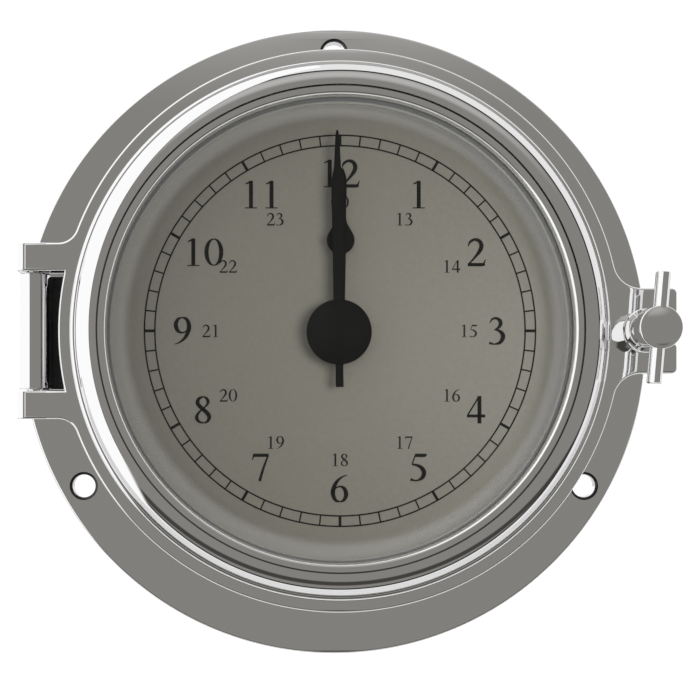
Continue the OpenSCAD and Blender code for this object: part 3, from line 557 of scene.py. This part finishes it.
upper_half = upper_lug + rim + upper_ear + rim_between_ears
door_outline = upper_half + [(x, -y) for x, y in upper_half[::-1][1:-1]]
plate = sheet_piece("plate", [door_outline, circle(PLATE_HOLE_R)], DOOR_BACK, DOOR_FRONT,
                    PLATE_EDGE)
print("door outline has", len(door_outline), "points")

# %% [markdown]
# The raised ring, the step at its foot and the lip round the glass are what the chrome shows best.
# They are one half section, from the foot in the plate over the step, the ring's quarter ellipse
# and the lip to the seats of glass and retaining ring at the back.

# %% The raised ring, its step and the lip
FOOT_R, STEP_R, STEP_T = 64.9, 68.5, 1.1
CREST_R, RING_W, RING_H = 62.0, 5.0, 3.9
LIP_FOOT_R, LIP_BACK, LIP_TOP = 60.45, 38.2, 40.4
LIP_ROUND, LIP_DROP = 0.9, 0.12
GLASS_SEAT_R, RETAINER_R, SEAT_FRONT = 60.2, 63.2, 34.7
foot_front, foot_back, step_top = DOOR_FRONT - 1.5, DOOR_BACK + 0.6, DOOR_FRONT + STEP_T
ring_end = (-0.26, 0.9656)
ring_curve = [on_circle(1, angle) for angle in range(0, 106, 3)] + [ring_end]
rings = turned("rings", [
    (FOOT_R, foot_front), (STEP_R, foot_front),
    *arc((STEP_R - STEP_T, DOOR_FRONT), STEP_T, 0, 90, 8),
    *[(CREST_R + RING_W * x, step_top + RING_H * y) for x, y in ring_curve],
    (LIP_FOOT_R, LIP_TOP),
    *arc((OPENING_R + LIP_ROUND, LIP_TOP - LIP_DROP - LIP_ROUND), LIP_ROUND, 84, 180, 10),
    (OPENING_R, LIP_BACK), (GLASS_SEAT_R, LIP_BACK), (GLASS_SEAT_R, SEAT_FRONT),
    (RETAINER_R, SEAT_FRONT), (RETAINER_R, foot_back), (FOOT_R, foot_back),
])
print("ring rises %.1f mm above the plate" % (STEP_T + RING_H))

# %% [markdown]
# Seen from its end, an ear's knuckle is round at the back and square in front, with one corner
# rounded, so that the ear's flat front runs on to the end of the door. That side view is cut like
# sheet, as thick as the ear is wide, and turned to lie along the pin.

# %% The ears' knuckles
EAR_BORE_R, EAR_EDGE, EAR_DROP = 1.65, 0.35, 0.04
ear_front = DOOR_FRONT - HINGE_Z - EAR_DROP
ear_side = (
    arc((0, 0), KNUCKLE_R, 180, 360, 32)
    + arc((KNUCKLE_R - EAR_ROUND, ear_front - EAR_ROUND), EAR_ROUND, 0, 90, 10)
    + [(-KNUCKLE_R, ear_front)]
)
ear_place = (
    Matrix.Translation((-HINGE_X, 0, HINGE_Z)) @ Matrix.Rotation(math.radians(180), 4, "Z")
    @ UPRIGHT
)
ear_knuckles = [
    sheet_piece("knuckle", [ear_side, circle(EAR_BORE_R, 24)], low_end, high_end, EAR_EDGE,
                place=ear_place)
    for low_end, high_end in ((EAR_IN, EAR_OUT), (-EAR_OUT, -EAR_IN))
]
door = joined([plate, rings] + ear_knuckles, "door")
settle(door, "door", "chrome", door_chrome, "door_ring")

# %% [markdown]
# ## The glass
# The glass is a disc with a wide shallow bevel ground on its front. Its finish paints a faint ring
# of light just inside the lip. It is closed on all sides, because glass bends light only where a ray
# goes in and comes out again.

# %% The glass
BEVEL_W, BEVEL_T = 2.6, 0.5
LENS_BACK, LENS_FRONT = node_height("lens")
LENS_R = node_size("lens").x / 2
lens = turned("glass_disc", [
    (0, LENS_BACK), (LENS_R, LENS_BACK), (LENS_R, LENS_FRONT - BEVEL_T / 2),
    (OPENING_R, LENS_FRONT - BEVEL_T / 2), (OPENING_R - BEVEL_W, LENS_FRONT), (0, LENS_FRONT),
], closed=False)
settle(lens, "door", "glass", glass, "lens")

# %% [markdown]
# ## The thumb screw
# The knob is turned: a waist, a crisp rim and a low dome, on a shank with a collar that sits in
# the boss. A ball and a few cylinders would look much the same from afar, but the rim would lack
# the bright line that its small round gives. The half section is spun about the clock's axis and
# only then moved to the screw's.

# %% The thumb screw
SHANK_R, SHANK_BACK, TIP_R = 2.0, 19.8, 1.6
COLLAR_R, COLLAR_BACK, COLLAR_FRONT = 4.0, 24.6, 25.6
KNOB_BACK_R, KNOB_R, KNOB_ROUND = 4.3, 5.3, 0.4
KNOB_BACK, KNOB_H, DOME_H = 36.74, 8.4, 0.7
KNOB_CHAMFER = 0.3
rim_height = KNOB_BACK + KNOB_H - KNOB_ROUND
dome_r = ((KNOB_R - KNOB_ROUND) ** 2 + DOME_H ** 2) / (2 * DOME_H)
dome_start = math.degrees(math.asin((KNOB_R - KNOB_ROUND) / dome_r))
at_screw = Matrix.Translation((SCREW_X, 0, 0))
thumb_screw = turned("knob", [
    (0, SHANK_BACK), (TIP_R, SHANK_BACK), (SHANK_R, SHANK_BACK + SHANK_R - TIP_R),
    (SHANK_R, COLLAR_BACK), (COLLAR_R, COLLAR_BACK), (COLLAR_R, COLLAR_FRONT),
    (SHANK_R, COLLAR_FRONT), (SHANK_R, KNOB_BACK),
    (KNOB_BACK_R - KNOB_CHAMFER, KNOB_BACK), (KNOB_BACK_R, KNOB_BACK + KNOB_CHAMFER),
    (KNOB_BACK_R, KNOB_BACK + KNOB_H * 0.25), (KNOB_R, KNOB_BACK + KNOB_H * 0.55),
    *arc((KNOB_R - KNOB_ROUND, rim_height), KNOB_ROUND, 0, 90 - dome_start, 8),
    *arc((0, KNOB_BACK + KNOB_H + DOME_H - dome_r), dome_r, 90 - dome_start, 90, 8),
], steps=128, closed=False, place=at_screw)
settle(thumb_screw, "screw", "chrome", chrome, "thumb_screw")

# %% [markdown]
# The washer under the knob slides out with the screw but doesn't turn with it, so it is a piece
# of its own. The tommy bar is a rod with chamfered ends. Both are turned too, and the bar is then
# laid through the knob, a few degrees off upright, as whoever shut the door last left it.

# %% The washer and the tommy bar
WASHER_BORE_R, WASHER_FLAT_R, WASHER_R = 2.1, 5.4, 5.6
WASHER_BACK, WASHER_FRONT = 36.02, 36.72
washer = turned("washer", [
    (WASHER_BORE_R, WASHER_BACK), (WASHER_FLAT_R, WASHER_BACK), (WASHER_R, WASHER_BACK + 0.18),
    (WASHER_R, WASHER_FRONT - 0.22), (WASHER_FLAT_R, WASHER_FRONT), (WASHER_BORE_R, WASHER_FRONT),
], steps=96, place=at_screw)
settle(washer, "screw_carrier", "chrome", chrome, "screw_washer")
BAR_R, BAR_L, BAR_CHAMFER, BAR_LEAN = 1.75, 27.5, 0.3, 4.85
BAR_Z = KNOB_BACK + KNOB_H * 0.8
bar_side = [(BAR_R, BAR_L / 2 - BAR_CHAMFER), (BAR_R - BAR_CHAMFER, BAR_L / 2), (0, BAR_L / 2)]
bar_profile = [(r, -z) for r, z in bar_side[::-1]] + bar_side
bar_place = (
    Matrix.Translation((SCREW_X, 0, BAR_Z))
    @ Matrix.Rotation(math.radians(-BAR_LEAN), 4, "Z") @ UPRIGHT
)
tommy_bar = turned("bar", bar_profile, steps=64, closed=False, place=bar_place)
settle(tommy_bar, "screw", "chrome", chrome, "tommy_bar")

# %% [markdown]
# ## The dial
# The dial is a lacquered disc. Its print is real geometry, a film two hundredths of a millimetre
# proud of the lacquer: a minute track of two hairlines with sixty strokes between, the hours
# from 1 to 12, and the afternoon hours in small figures inside them.

# %% The dial plate
DIAL_R, DIAL_HOLE_R = node_size("dial_plate").x / 2, 3.9
dial = turned("dial", [
    (DIAL_HOLE_R, DIAL_BACK), (DIAL_R, DIAL_BACK), (DIAL_R, DIAL_FRONT), (DIAL_HOLE_R, DIAL_FRONT),
])
settle(dial, "case", "dial", dial_paint, "dial_plate")

# %% [markdown]
# The figures have thick uprights and hairline joins, like the numerals of an old book face. A font
# would depend on what a machine has, so each figure is drawn as pen strokes: a smooth line through
# a few points, each with the pen's width there, for a figure one unit high.

# %% The strokes of the figures
FIGURES = {
    "1": [
        [(0.37, 0.02, 0.12), (0.37, 0.5, 0.12), (0.37, 0.99, 0.12)],
        [(0.16, 0.87, 0.02), (0.27, 0.92, 0.05), (0.40, 0.985, 0.03)],
        [(0.15, 0.016, 0.032), (0.59, 0.016, 0.032)],
    ],
    "2": [
        [(0.07, 0.70, 0.02), (0.14, 0.86, 0.07), (0.30, 0.95, 0.085), (0.47, 0.90, 0.11),
         (0.55, 0.74, 0.13), (0.50, 0.56, 0.12), (0.34, 0.34, 0.075), (0.07, 0.04, 0.04)],
        [(0.06, 0.05, 0.1), (0.57, 0.05, 0.1), (0.66, 0.08, 0.08)],
        [(0.62, 0.04, 0.07), (0.70, 0.24, 0.02)],
    ],
    "3": [
        [(0.09, 0.78, 0.02), (0.17, 0.91, 0.06), (0.30, 0.955, 0.075), (0.44, 0.89, 0.11),
         (0.48, 0.76, 0.12), (0.41, 0.62, 0.08), (0.25, 0.53, 0.025)],
        [(0.25, 0.545, 0.025), (0.43, 0.50, 0.085), (0.55, 0.38, 0.13), (0.56, 0.24, 0.135),
         (0.46, 0.08, 0.1), (0.28, 0.025, 0.05), (0.16, 0.04, 0.06), (0.07, 0.07, 0.09)],
    ],
    "4": [
        [(0.48, 0.0, 0.12), (0.48, 0.99, 0.12)],
        [(0.46, 0.97, 0.045), (0.05, 0.29, 0.045)],
        [(0.03, 0.27, 0.09), (0.69, 0.27, 0.09)],
    ],
    "5": [
        [(0.24, 0.93, 0.1), (0.58, 0.93, 0.1), (0.64, 0.99, 0.02)],
        [(0.25, 0.95, 0.04), (0.13, 0.60, 0.04)],
        [(0.13, 0.60, 0.05), (0.31, 0.57, 0.08), (0.48, 0.47, 0.12), (0.56, 0.30, 0.135),
         (0.49, 0.12, 0.11), (0.31, 0.025, 0.05), (0.17, 0.035, 0.06), (0.07, 0.07, 0.09)],
    ],
    "6": [
        [(0.64, 0.98, 0.02), (0.45, 0.91, 0.05), (0.24, 0.72, 0.1), (0.12, 0.42, 0.135),
         (0.14, 0.20, 0.12), (0.23, 0.06, 0.09), (0.37, 0.018, 0.035)],
        [(0.37, 0.018, 0.035), (0.51, 0.08, 0.09), (0.59, 0.27, 0.13), (0.53, 0.48, 0.11),
         (0.39, 0.565, 0.06), (0.25, 0.53, 0.04), (0.15, 0.44, 0.03)],
    ],
    "7": [
        [(0.08, 0.93, 0.1), (0.64, 0.93, 0.1)],
        [(0.11, 0.95, 0.07), (0.05, 0.76, 0.02)],
        [(0.62, 0.93, 0.05), (0.46, 0.50, 0.07), (0.31, 0.0, 0.09)],
    ],
    "8": [
        [(0.36, 0.965, 0.045), (0.21, 0.90, 0.09), (0.15, 0.76, 0.12), (0.22, 0.63, 0.12),
         (0.40, 0.47, 0.125), (0.54, 0.32, 0.13), (0.57, 0.19, 0.11), (0.49, 0.06, 0.07),
         (0.36, 0.02, 0.04)],
        [(0.36, 0.02, 0.04), (0.20, 0.07, 0.08), (0.12, 0.21, 0.11), (0.18, 0.37, 0.07),
         (0.34, 0.53, 0.05), (0.48, 0.66, 0.06), (0.53, 0.79, 0.1), (0.47, 0.91, 0.08),
         (0.36, 0.965, 0.045)],
    ],
}
FIGURES["9"] = [[(0.72 - x, 1 - y, w) for x, y, w in stroke] for stroke in FIGURES["6"]]
FIGURES["0"] = [[
    (0.37 + 0.265 * x, 0.5 + 0.47 * y, 0.035 + 0.095 * abs(x) ** 1.4)
    for x, y in (on_circle(1, angle) for angle in range(0, 375, 15))
]]
FIGURE_STEP, PEN = 0.74, 1.2
print("figures:", " ".join(sorted(FIGURES)))

# %% [markdown]
# A stroke becomes a strip of faces: the points are joined by a smooth curve, and at each step the
# pen's width is laid across the way that it moves.


# %% Strokes into faces
def smooth_line(points, steps=6):
    """Points along a smooth curve through the given ones, all coordinates alike."""
    if len(points) < 3:
        return [Vector(p) for p in points]
    ends = [points[0]] + list(points) + [points[-1]]
    line = []
    for a, b, c, d in zip(ends, ends[1:], ends[2:], ends[3:]):
        a, b, c, d = (Vector(p) for p in (a, b, c, d))
        for i in range(steps):
            t = i / steps
            line.append(0.5 * (2 * b + (c - a) * t + (2 * a - 5 * b + 4 * c - d) * t ** 2
                               + (3 * b - a - 3 * c + d) * t ** 3))
    return line + [Vector(points[-1])]


def add_stroke(bm, line, place, scale, height):
    left, right = [], []
    for i, point in enumerate(line):
        before, after = line[max(i - 1, 0)], line[min(i + 1, len(line) - 1)]
        way = (after - before).to_2d().normalized()
        across = Vector((-way.y, way.x)) * point.z / 2
        middle = point.to_2d()
        for side, row in ((across, left), (-across, right)):
            spot = Vector(place) + (middle + side) * scale
            row.append(bm.verts.new((spot.x, spot.y, height)))
    for i in range(len(line) - 1):
        bm.faces.new((left[i], right[i], right[i + 1], left[i + 1]))


def add_number(bm, text, centre, size, height):
    width = FIGURE_STEP * len(text)
    for place, figure in enumerate(text):
        corner = (centre[0] + (place * FIGURE_STEP - width / 2) * size, centre[1] - size / 2)
        for stroke in FIGURES[figure]:
            bold = [(x, y, w * PEN) for x, y, w in stroke]
            add_stroke(bm, smooth_line(bold), corner, size, height)


# %% [markdown]
# The track and the figures go into one mesh, drawn flat and then stood up. It is shifted a little
# on the plate, to where the photograph has the print. A film has only one side that shows, so all
# its faces are turned to look away from the wall.

# %% The printed dial
PRINT_Z = DIAL_FRONT + 0.02
PRINT_SHIFT = Vector((0.45, 0, 0.7))
TRACK_OUT_R, TRACK_IN_R = 51.4, 48.66
HAIRLINE, THICK_LINE = 0.4, 0.75
NUMBER_R, NUMBER_H = 41.4, 7.3
SMALL_R, SMALL_H = 33.9, 3.3
dial_print = bmesh.new()
for radius in (TRACK_OUT_R, TRACK_IN_R):
    hairline = [Vector((x, y, HAIRLINE)) for x, y in arc((0, 0), radius, 0, 360, 360)]
    add_stroke(dial_print, hairline, (0, 0), 1.0, PRINT_Z)
for minute in range(60):
    way = Vector(on_circle(1, 90 - 6 * minute))
    thick = HAIRLINE if minute % 5 else THICK_LINE
    ends = [Vector((*(way * r), thick)) for r in (TRACK_IN_R, TRACK_OUT_R)]
    add_stroke(dial_print, ends, (0, 0), 1.0, PRINT_Z)
for hour in range(1, 13):
    way = Vector(on_circle(1, 90 - 30 * hour))
    small_text = str(hour + 12) if hour < 12 else "00"
    add_number(dial_print, str(hour), way * NUMBER_R, NUMBER_H, PRINT_Z)
    add_number(dial_print, small_text, way * SMALL_R, SMALL_H, PRINT_Z)
bmesh.ops.transform(dial_print, matrix=Matrix.Translation(PRINT_SHIFT) @ UPRIGHT,
                    verts=dial_print.verts)
bmesh.ops.scale(dial_print, vec=(MM, MM, MM), verts=dial_print.verts)
for face in dial_print.faces:
    if face.normal.y > 0:
        face.normal_flip()
print_mesh = bpy.data.meshes.new("dial_print")
dial_print.to_mesh(print_mesh)
dial_print.free()
print_mesh.materials.append(print_ink.material)
numbers = bpy.data.objects.new("dial_print", print_mesh)
scene.collection.objects.link(numbers)
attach(numbers, "case")
print("print has", len(print_mesh.polygons), "faces")

# %% [markdown]
# ## The hands
# Both hands are stamped from thin sheet, with the edges a little rounded by the lacquer. They
# stand at twelve, the hour hand's round spade under the minute hand's long taper, and neither was
# pressed on quite straight. One edge of each is listed from tail to tip, and the other one mirrors
# it, which keeps the blade even.

# %% The hands
HAND_T, HAND_EDGE = 0.5, 0.08
MINUTE_LEAN, HOUR_LEAN = 0.56, -1.1


def hand(name, side, back, lean):
    """Stamps a hand from one edge's points, leaning by some degrees to the left."""
    outline = side + [(-x, y) for x, y in side[::-1]]
    return sheet_piece(name, [outline], back, back + HAND_T, HAND_EDGE,
                       place=Matrix.Rotation(math.radians(lean), 4, "Z"))


minute_side = [
    (1.0, -14.2), (1.0, -4), (1.36, 5.2), (1.46, 23.2), (1.66, 36.2), (1.6, 39.0), (1.2, 41.0),
    (0.9, 42.4), (0.74, 46.0), (0.55, 49.9), (0.4, 51.3), (0.2, 52.0),
]
minute_blade = hand("minute_blade", minute_side, node_height("minute_hand")[0], MINUTE_LEAN)
settle(minute_blade, "minute", "hand_black", hand_paint, "minute_hand")
SPADE_R, SPADE_AT = 3.6, 23.9
hour_side = (
    [(1.4, 0), (1.4, SPADE_AT - 3.4)]
    + arc((0, SPADE_AT), SPADE_R, -62, 28, 14)
    + [(2.3, SPADE_AT + 3.2), (1.65, SPADE_AT + 4.2), (1.3, SPADE_AT + 5.6), (1.25, 31.0),
       (1.3, 38.6), (1.1, 40.4), (0.6, 41.8), (0.3, 42.5)]
)
hour_blade = hand("hour_blade", hour_side, node_height("hour_hand")[0], HOUR_LEAN)
settle(hour_blade, "hour", "hand_black", hand_paint, "hour_hand")

# %% [markdown]
# The cap over the hub is a low dome, a small part of a large ball. It could be a squashed sphere,
# but the turned arc meets the dial side in a sharp rim, as a pressed cap does.

# %% The cap
CAP_R, CAP_H = 8.4, 2.2
cap_base = node_height("hub_cap")[0]
cap_ball = (CAP_R ** 2 + CAP_H ** 2) / (2 * CAP_H)
cap_start = math.degrees(math.asin(CAP_R / cap_ball))
cap = turned("cap", [
    (0, cap_base), *arc((0, cap_base + CAP_H - cap_ball), cap_ball, 90 - cap_start, 90, 16),
], steps=128, closed=False)
settle(cap, "minute", "hand_black", hand_paint, "hub_cap")

# %% [markdown]
# ## What is out of sight
# The movement, its wheels and the rings that hold glass and dial are right as they were made, so
# they only get their finishes.

# %% Finishes of the carried-over parts
CARRIED = {
    rubber: ["case_gasket", "dial_washer", "lens_gasket"],
    chrome: ["dial_retaining_ring", "hinge_pin", "lens_retaining_ring"],
    steel: ["back_cover_screws", "battery_contacts", "quartz_crystal", "lens_ring_screws",
            "keeper_pin"],
    black_plastic: ["back_cover", "movement_front_shell", "movement_rear_shell", "setting_stem"],
    brass: ["movement_bushing", "bushing_washer", "bushing_nut", "centre_arbor", "hour_wheel",
            "minute_wheel", "third_wheel", "fourth_wheel"],
    battery_jacket: ["battery"],
    copper_wire: ["motor_unit"],
    circuit: ["circuit_board"],
}
for finish, nodes in CARRIED.items():
    for node in nodes:
        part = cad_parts[node]
        part.data.materials.clear()
        part.data.materials.append(finish.material)
print("carried over:", sum(len(nodes) for nodes in CARRIED.values()))

# %% [markdown]
# ## The studio
# A floor and a room surround the clock. The floor keeps only a soft shadow: to the eye, and
# through the glass, it glows just enough to fade into the white behind. It begins only a little in
# front of the clock and runs backwards, so that the metal hardly shows it.

# %% The floor
FLOOR_Z, FLOOR_EDGE, FLOOR_HALF = -0.3, -0.12, 3.0
FLOOR_GLOW = 0.45
floor_mesh = bpy.data.meshes.new("floor")
floor_bm = bmesh.new()
bmesh.ops.create_grid(floor_bm, x_segments=2, y_segments=2, size=FLOOR_HALF)
floor_bm.to_mesh(floor_mesh)
floor_bm.free()
floor = bpy.data.objects.new("floor", floor_mesh)
floor.location = (0, FLOOR_HALF + FLOOR_EDGE, FLOOR_Z)
scene.collection.objects.link(floor)
floor_paint = bpy.data.materials.new("floor paint")
floor_paint.use_nodes = True
floor_nodes, floor_links = floor_paint.node_tree.nodes, floor_paint.node_tree.links
floor_shader = floor_nodes["Principled BSDF"]
floor_shader.inputs["Base Color"].default_value = (0.8, 0.8, 0.8, 1)
floor_shader.inputs["Roughness"].default_value = 0.9
floor_shader.inputs["Emission Color"].default_value = (1, 1, 1, 1)
floor_path = floor_nodes.new("ShaderNodeLightPath")
seen = floor_nodes.new("ShaderNodeMath")
seen.operation = "MAXIMUM"
floor_links.new(floor_path.outputs["Is Camera Ray"], seen.inputs[0])
floor_links.new(floor_path.outputs["Is Transmission Ray"], seen.inputs[1])
glow = floor_nodes.new("ShaderNodeMath")
glow.operation = "MULTIPLY"
glow.inputs[1].default_value = FLOOR_GLOW
floor_links.new(seen.outputs["Value"], glow.inputs[0])
floor_links.new(glow.outputs["Value"], floor_shader.inputs["Emission Strength"])
floor_mesh.materials.append(floor_paint)
print("floor %.2f m below the clock's middle" % -FLOOR_Z)

# %% [markdown]
# Polished metal is lit by what it mirrors. The room could be built of cards and lamps, but here it
# is drawn in the world by direction, with a few helpers for its arithmetic, so that nothing of it
# stands in the way of the camera or throws a shadow.

# %% Numbers for the room
world = bpy.data.worlds.new("room")
scene.world = world
world.use_nodes = True
world_nodes, world_links = world.node_tree.nodes, world.node_tree.links


def number(operation, *values):
    """One step of arithmetic on plain numbers or on other steps."""
    node = world_nodes.new("ShaderNodeMath")
    node.operation = operation
    for socket, value in zip(node.inputs, values):
        if isinstance(value, (int, float)):
            socket.default_value = value
        else:
            world_links.new(value, socket)
    return node.outputs["Value"]


def rise(value, low, high):
    """A soft step from 0 at low to 1 at high."""
    node = world_nodes.new("ShaderNodeMapRange")
    node.interpolation_type = "SMOOTHSTEP"
    node.inputs["From Min"].default_value = low
    node.inputs["From Max"].default_value = high
    world_links.new(value, node.inputs["Value"])
    return node.outputs["Result"]


def both(one, other):
    return number("MULTIPLY", one, other)


def painted(shade, tone, where):
    """Lays a tone over the room's shade where a mask says so."""
    change = both(number("SUBTRACT", tone, shade), where)
    return number("ADD", shade, change)


# %% [markdown]
# A direction is a place on the room's wall. Across and up are measured on the wall in front, where
# 1 is as far from the middle as the wall is away, and the sides and the back are found by depth.
# The room is mid-grey in front, with a soft glow up high and a darker band low down. A dark edge
# closes it towards the sides, and behind that edge all is white. A tall window with a dark frame
# and a slanting sill takes up the left. Each tone rises softly between two values of its own, and
# lies over the ones before it.

# %% The room as the metal sees it
split = world_nodes.new("ShaderNodeSeparateXYZ")
world_links.new(world_nodes.new("ShaderNodeTexCoord").outputs["Generated"], split.inputs["Vector"])
right, back, up = (split.outputs[axis] for axis in "XYZ")
ahead = number("MAXIMUM", both(back, -1.0), 0.05)
across_wall, up_wall = number("DIVIDE", right, ahead), number("DIVIDE", up, ahead)
FRONT_GREY, HIGH_GLOW, BACK_WHITE, WINDOW_WHITE = 0.26, 0.24, 0.82, 1.0
LOW_DARK, EDGE_DARK, FRAME_DARK = 0.06, 0.03, 0.05
GLOW_AT, GLOW_WIDTH, GLOW_RISE = Vector((0.0, -0.75, 0.66)), 0.4, (0.925, 1.01)
BAND_TOP, BAND_END = (0.36, 0.5), (-1.0, -0.8)
EDGE_RISE, WHITE_RISE = (-0.56, -0.5), (-0.42, -0.4)
SILL_SLOPE, SILL_DEPTH, SILL_RISE = 0.98, 0.19, (-0.01, 0.07)
FRAME_RISE, PANE_RISE = (0.36, 0.375), (0.395, 0.41)
toward_glow = number("ADD", both(back, GLOW_AT.y), both(up, GLOW_AT.z))
toward_glow = number("ADD", both(both(right, right), GLOW_WIDTH), toward_glow)
shade = number("ADD", FRONT_GREY, both(rise(toward_glow, *GLOW_RISE), HIGH_GLOW))
low_band = both(rise(up_wall, *BAND_END), rise(both(up_wall, -1.0), *BAND_TOP))
shade = painted(shade, LOW_DARK, low_band)
shade = painted(shade, EDGE_DARK, rise(back, *EDGE_RISE))
sill_height = number("SUBTRACT", up, both(right, SILL_SLOPE))
over_sill = rise(number("ADD", sill_height, both(back, SILL_DEPTH)), *SILL_RISE)
window_left = both(across_wall, -1.0)
shade = painted(shade, FRAME_DARK, both(rise(window_left, *FRAME_RISE), over_sill))
shade = painted(shade, BACK_WHITE, rise(back, *WHITE_RISE))
shade = painted(shade, WINDOW_WHITE, both(rise(window_left, *PANE_RISE), over_sill))
print("room drawn with", len(world_nodes), "nodes")

# %% [markdown]
# The shade so far is a plain number. A ramp turns it into light, a little warm in the greys as the
# photograph's are, and the camera itself sees pure white instead of the room.

# %% The room's colours
ROOM_STRENGTH = 1.12
tones = world_nodes.new("ShaderNodeValToRGB")
tones.color_ramp.elements[0].color = (0, 0, 0, 1)
tones.color_ramp.elements[1].color = (1, 1, 1, 1)
middle = tones.color_ramp.elements.new(FRONT_GREY)
middle.color = (0.229, 0.221, 0.206, 1)
world_links.new(shade, tones.inputs["Fac"])
world_path = world_nodes.new("ShaderNodeLightPath")
camera_white = world_nodes.new("ShaderNodeMix")
camera_white.data_type = "RGBA"
camera_white.inputs["B"].default_value = (1, 1, 1, 1)
world_links.new(world_path.outputs["Is Camera Ray"], camera_white.inputs["Factor"])
world_links.new(tones.outputs["Color"], camera_white.inputs["A"])
world_links.new(camera_white.outputs["Result"], world_nodes["Background"].inputs["Color"])
world_nodes["Background"].inputs["Strength"].default_value = ROOM_STRENGTH
print("the room shines at", ROOM_STRENGTH)

# %% [markdown]
# Two soft lamps bring the light on paint up to a plain level, a wide one from the left and a small
# one from the right. The metal does not mirror them, because it has the whole room to mirror
# already.


# %% The lamps
def soft_lamp(name, at, size, power):
    """A square lamp that faces the clock."""
    lamp = bpy.data.lights.new(name, "AREA")
    lamp.size = size
    lamp.energy = power
    piece = bpy.data.objects.new(name, lamp)
    piece.location = at
    piece.rotation_euler = (-Vector(at)).to_track_quat("-Z", "Y").to_euler()
    piece.visible_camera = False
    piece.visible_glossy = False
    piece.visible_transmission = False
    scene.collection.objects.link(piece)
    print(name, "at", at, "with", power, "W")


soft_lamp("left_lamp", (-0.2, -1.4, 0.15), 0.6, 2.2)
soft_lamp("right_lamp", (0.085, -0.21, 0.0), 0.1, 0.37)

# %% [markdown]
# The last step sets the Standard view, which shows the colours as they are, without a film's curve.

# %% The end
scene.view_settings.view_transform = "Standard"
